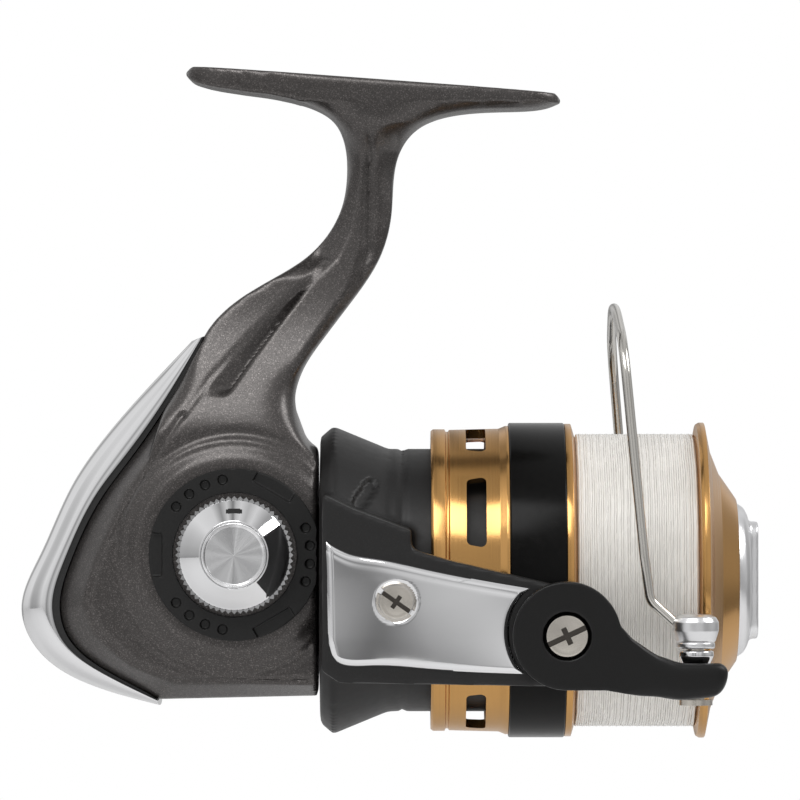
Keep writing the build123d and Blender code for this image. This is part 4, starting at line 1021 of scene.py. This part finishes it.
class REEL_OT_spool(bpy.types.Operator):
    """Build the spool with the openings round its skirt, and its black band"""

    bl_idname = "reel.spool"
    bl_label = "Spool"

    def execute(self, context):
        profile = [
            (31.6, 23.2), (31.6, 24.4), (32.0, 24.7), (33.9, 24.7), (34.05, 24.3), (34.45, 24.3),
            (34.6, 24.6), (42.7, 24.8), (43.8, 25.25), (44.3, 25.25), (44.3, 25.0), (53.4, 25.0),
            (53.4, 25.6), (54.5, 25.6),
            (55.1, 23.5), (55.1, 15.0), (74.6, 15.0), (74.6, 23.5), (75.0, 25.5), (75.5, 25.8), (76.3, 25.8),
            (76.6, 24.3), (77.2, 21.3), (78.7, 17.5), (81.0, 14.2), (81.6, 13.3), (81.6, 13.1), (77.0, 13.1),
            (77.0, 11.5), (69.0, 11.5), (69.0, 2.05), (66.0, 2.05), (66.0, 13.2), (53.5, 13.2), (53.5, 23.2),
        ]
        points, faces = lathe(soften(profile, 0.16, 3), 192)
        piece = link("spool_turned", mesh_from("spool_turned", points, faces))
        graph = Graph("spool_openings", Openings=8, First=math.radians(61.3), Wide=12.9 * MM,
                      Narrow=11.7 * MM, Height=3.2 * MM, Corner=0.9 * MM)
        outline = graph.add("GeometryNodeCurvePrimitiveQuadrilateral", {
            "Height": graph.given("Height"), "Bottom Width": graph.given("Wide"),
            "Top Width": graph.given("Narrow"), "Offset": 0.0,
        }, mode="TRAPEZOID")
        eased = graph.add("GeometryNodeFilletCurve", {
            "Curve": outline, "Count": 5, "Radius": graph.given("Corner"), "Limit Radius": True,
        }, mode="POLY")
        face = graph.add("GeometryNodeFillCurve", {"Curve": eased}, mode="NGONS")
        shifted = graph.add("GeometryNodeTransform", {
            "Geometry": face, "Translation": (38.9 * MM, 0, 21.0 * MM), "Rotation": (0, 0, math.pi / 2),
        })
        block = graph.add("GeometryNodeExtrudeMesh", {"Mesh": shifted, "Offset Scale": 8.0 * MM})
        closed = graph.join(block, graph.add("GeometryNodeFlipFaces", {"Mesh": shifted}))
        merged = graph.add("GeometryNodeMergeByDistance", {"Geometry": closed, "Distance": 0.001 * MM})
        cutters = graph.add("GeometryNodeRealizeInstances", {
            "Geometry": graph.ring(merged, graph.given("Openings"), graph.given("First")),
        })
        cut = graph.add("GeometryNodeMeshBoolean", {"Mesh 1": graph.given("Geometry"), "Mesh 2": cutters},
                        operation="DIFFERENCE", solver="EXACT")
        graph.run(piece, cut, "gold_anodised")
        piece.data.transform(SHAFT)
        close_mesh(piece.data)
        finish_piece(piece, "spool", "gold_anodised", "spool", angle=28.0)
        band = [(44.32, 25.02), (44.32, 25.62), (44.5, 25.75), (53.2, 25.75), (53.38, 25.62), (53.38, 25.02)]
        turned_piece("spool_sleeve", band, SHAFT, "spool", "band_black", "spool_band",
                     segments=192, rounding=0.1)
        return {"FINISHED"}


class REEL_OT_line(bpy.types.Operator):
    """Wind the line on the spool"""

    bl_idname = "reel.line"
    bl_label = "Wound Line"

    def execute(self, context):
        width = 19.0
        core = [(55.15, 15.05), (55.15, 23.45), (55.5, 23.72), (74.2, 23.72), (74.55, 23.45), (74.55, 15.05)]
        points, faces = lathe(core, 160)
        piece = link("line_winding", mesh_from("line_winding", points, faces))
        pitch = sizes().line_pitch / MM
        graph = Graph("winding", Turns=width / pitch, Thickness=0.19 * MM, Loose=0.18 * MM)
        layers = [graph.given("Geometry")]
        for turns, radius, reverse in ((graph.given("Turns"), 23.76, False), (17.0, 23.80, True)):
            spiral = graph.add("GeometryNodeCurveSpiral", {
                "Resolution": 90, "Rotations": turns, "Start Radius": radius * MM, "End Radius": radius * MM,
                "Height": width * MM, "Reverse": reverse,
            })
            place = graph.add("GeometryNodeInputPosition")
            wander = graph.add("ShaderNodeTexNoise", {"Vector": place, "Scale": 160.0, "Detail": 2.0})
            shift = graph.maths("MULTIPLY", graph.maths("SUBTRACT", wander, 0.5), graph.given("Loose"))
            offset = graph.add("ShaderNodeCombineXYZ", {"Z": graph.maths("MULTIPLY", shift, 2.2)})
            laid = graph.add("GeometryNodeSetPosition", {"Geometry": spiral, "Offset": offset})
            section = graph.add("GeometryNodeCurvePrimitiveCircle", {
                "Resolution": 6, "Radius": graph.given("Thickness"),
            })
            strand = graph.add("GeometryNodeCurveToMesh", {
                "Curve": laid, "Profile Curve": section, "Fill Caps": True,
            })
            layers.append(graph.add("GeometryNodeTransform", {
                "Geometry": strand, "Translation": (55.35 * MM, 0, 0), "Rotation": (0, math.pi / 2, 0),
            }))
        graph.run(piece, graph.join(*layers), "nylon_line")
        piece.data.transform(SHAFT)
        finish_piece(piece, "spool", "nylon_line", "wound_line", angle=70.0)
        return {"FINISHED"}


class REEL_OT_drag_knob(bpy.types.Operator):
    """Build the drag knob with its grip bar"""

    bl_idname = "reel.drag_knob"
    bl_label = "Drag Knob"

    def thicken_face(self, mesh):
        """Set back the floor of the insert's pocket: the face over it is thinner than the skin's grid."""
        pocket_radius, pocket_floor, set_back = 5.05, 83.5, 0.6
        points = shaft_points(mesh)
        inside = np.hypot(points[:, 1], points[:, 2]) < pocket_radius
        floor = inside & (np.abs(points[:, 0] - pocket_floor) < 0.02)
        if not floor.any():
            raise RuntimeError("the drag knob has no pocket floor at its insert")
        points[floor, 0] -= set_back
        set_shaft_points(mesh, points)

    def execute(self, context):
        skin = skin_of("drag_dial", "drag_knob", 0.28 * MM, 9, prepare=self.thicken_face)
        finish_piece(skin, "drag", "silver_knob", "drag_knob", angle=60.0)
        return {"FINISHED"}


class REEL_OT_handle(bpy.types.Operator):
    """Build the handle's arm and knob"""

    bl_idname = "reel.handle"
    bl_label = "Handle"

    def execute(self, context):
        arm = skin_of("crank", "handle_arm", 0.38 * MM, 5)
        finish_piece(arm, "crank_arm", "handle_metal", "handle_arm", angle=60.0)
        far = outward_frame(KNOB.x, 0, KNOB.z, 1)
        grip = [(51.5, 2.55), (51.5, 4.4), (52.0, 4.6), (55.5, 4.6), (58.0, 5.6), (60.5, 7.5), (64.0, 9.0),
                (68.5, 9.5), (73.0, 9.35), (76.5, 8.7), (80.5, 6.9), (82.3, 5.6), (82.5, 4.2), (80.1, 4.2),
                (80.1, 2.55)]
        turned_piece("grip", grip, far, "knob", "knob_rubber", "handle_knob", rounding=1.2)
        return {"FINISHED"}


# ------------------------------------------------------------------ stage
class REEL_OT_stage(bpy.types.Operator):
    """Set the floor, lights, surroundings and camera"""

    bl_idname = "reel.stage"
    bl_label = "Stage"

    def execute(self, context):
        scene = bpy.context.scene
        scene.view_settings.view_transform = "Standard"
        scene.view_settings.look = "None"
        self.floor()
        self.surroundings()
        self.lamp("key", at(-120, -420, 520), at(20, 0, 10), 0.42, 1.6)
        self.lamp("rim", at(420, -60, 300), at(50, 0, 0), 0.25, 0.7)
        camera = bpy.data.cameras.new("camera")
        camera.lens = 36.0 / 0.13115 * sizes().camera_distance
        camera.sensor_width = 36.0
        camera.dof.use_dof = False
        camera.clip_start = 0.01
        view = bpy.data.objects.new("camera", camera)
        aim = at(26.6, 0, 29.5)
        view.matrix_world = basis(aim - ACROSS * sizes().camera_distance, FORWARD, UPWARD)
        scene.collection.objects.link(view)
        scene.camera = view
        return {"FINISHED"}

    def floor(self):
        """Plain pale floor a little below the reel."""
        low = CAD_BOX[0][2] - 0.06
        mesh = bpy.data.meshes.new("floor")
        mesh.from_pydata([(-0.6, -0.6, low), (0.6, -0.6, low), (0.6, 0.6, low), (-0.6, 0.6, low)], [],
                         [[0, 1, 2, 3]])
        floor = link("floor", mesh)
        material, _ = principled("floor_white", (0.86, 0.86, 0.86), 0.0, 0.9)
        mesh.materials.append(material)

    def surroundings(self):
        """White room with a few soft grey cards for the bright metal to mirror."""
        world = bpy.data.worlds.new("studio")
        bpy.context.scene.world = world
        world.use_nodes = True
        tree = world.node_tree
        tree.nodes.clear()
        way = tree.nodes.new("ShaderNodeTexCoord")
        cards = []
        for direction, levels in (
            (FORWARD, [(0.0, 0.55), (0.12, 1.0), (0.26, 0.95), (0.34, 0.42), (0.41, 0.92), (0.475, 0.30),
                       (0.505, 0.75), (0.56, 1.0), (0.64, 0.70), (0.72, 1.0), (0.83, 0.48), (0.92, 0.48),
                       (1.0, 0.75)]),
            (UPWARD, [(0.0, 0.35), (0.30, 0.25), (0.44, 0.55), (0.50, 0.85), (0.60, 1.0), (0.80, 1.0),
                      (1.0, 0.9)]),
        ):
            along = tree.nodes.new("ShaderNodeVectorMath")
            along.operation = "DOT_PRODUCT"
            along.inputs[1].default_value = direction
            tree.links.new(way.outputs["Generated"], along.inputs[0])
            centre = tree.nodes.new("ShaderNodeMapRange")
            centre.inputs["From Min"].default_value = -1.0
            centre.inputs["From Max"].default_value = 1.0
            tree.links.new(along.outputs["Value"], centre.inputs["Value"])
            stops = [(place, (level,) * 3) for place, level in levels]
            cards.append(ramp(tree, centre.outputs["Result"], stops))
        blend = tree.nodes.new("ShaderNodeMixRGB")
        blend.blend_type = "MULTIPLY"
        blend.inputs["Fac"].default_value = 1.0
        tree.links.new(cards[0], blend.inputs["Color1"])
        tree.links.new(cards[1], blend.inputs["Color2"])
        room = tree.nodes.new("ShaderNodeBackground")
        room.inputs["Strength"].default_value = 0.8
        tree.links.new(blend.outputs["Color"], room.inputs["Color"])
        white = tree.nodes.new("ShaderNodeBackground")
        white.inputs["Color"].default_value = (1, 1, 1, 1)
        path = tree.nodes.new("ShaderNodeLightPath")
        pick = tree.nodes.new("ShaderNodeMixShader")
        tree.links.new(path.outputs["Is Camera Ray"], pick.inputs["Fac"])
        tree.links.new(room.outputs["Background"], pick.inputs[1])
        tree.links.new(white.outputs["Background"], pick.inputs[2])
        output = tree.nodes.new("ShaderNodeOutputWorld")
        tree.links.new(pick.outputs["Shader"], output.inputs["Surface"])

    def lamp(self, name, place, aim, size, power):
        """Soft rectangular lamp turned towards a point."""
        light = bpy.data.lights.new(name, "AREA")
        light.shape = "RECTANGLE"
        light.size = size
        light.size_y = size * 0.7
        light.energy = power
        lamp = bpy.data.objects.new(name, light)
        lamp.location = place
        lamp.rotation_euler = (aim - place).to_track_quat("-Z", "Y").to_euler()
        bpy.context.scene.collection.objects.link(lamp)


class REEL_OT_finishes(bpy.types.Operator):
    """Make the finishes and give them to the frame's own pieces"""

    bl_idname = "reel.finishes"
    bl_label = "Finishes"

    def execute(self, context):
        make_finishes()
        for entry in frame["record"]["subparts"]:
            mesh = frame["nodes"][entry["node"]].data
            mesh.materials.clear()
            mesh.materials.append(FINISH[entry["material_slot"]])
        return {"FINISHED"}


OPERATORS = (
    REEL_OT_finishes, REEL_OT_case, REEL_OT_rear_cover, REEL_OT_boss_trim, REEL_OT_screw_cap, REEL_OT_rotor,
    REEL_OT_arm_covers, REEL_OT_screws, REEL_OT_bail, REEL_OT_roller, REEL_OT_spool, REEL_OT_line,
    REEL_OT_drag_knob, REEL_OT_handle, REEL_OT_stage,
)


class REEL_PT_panel(bpy.types.Panel):
    """Sidebar panel that lists the reel's settings and pieces"""

    bl_idname = "REEL_PT_panel"
    bl_label = "Spinning Reel"
    bl_space_type = "VIEW_3D"
    bl_region_type = "UI"
    bl_category = "Reel"

    def draw(self, context):
        layout = self.layout
        for group in (context.scene.reel_colours, context.scene.reel_sizes):
            for name in group.__annotations__:
                layout.prop(group, name)
        for operator in OPERATORS:
            layout.operator(operator.bl_idname)


CLASSES = (ReelColours, ReelSizes, *OPERATORS, REEL_PT_panel)


def register():
    for item in CLASSES:
        bpy.utils.register_class(item)
    bpy.types.Scene.reel_colours = PointerProperty(type=ReelColours)
    bpy.types.Scene.reel_sizes = PointerProperty(type=ReelSizes)


def unregister():
    del bpy.types.Scene.reel_sizes
    del bpy.types.Scene.reel_colours
    for item in reversed(CLASSES):
        bpy.utils.unregister_class(item)


def main():
    register()
    for operator in OPERATORS:
        group, name = operator.bl_idname.split(".")
        getattr(getattr(bpy.ops, group), name)()


if __name__ == "__main__":
    main()
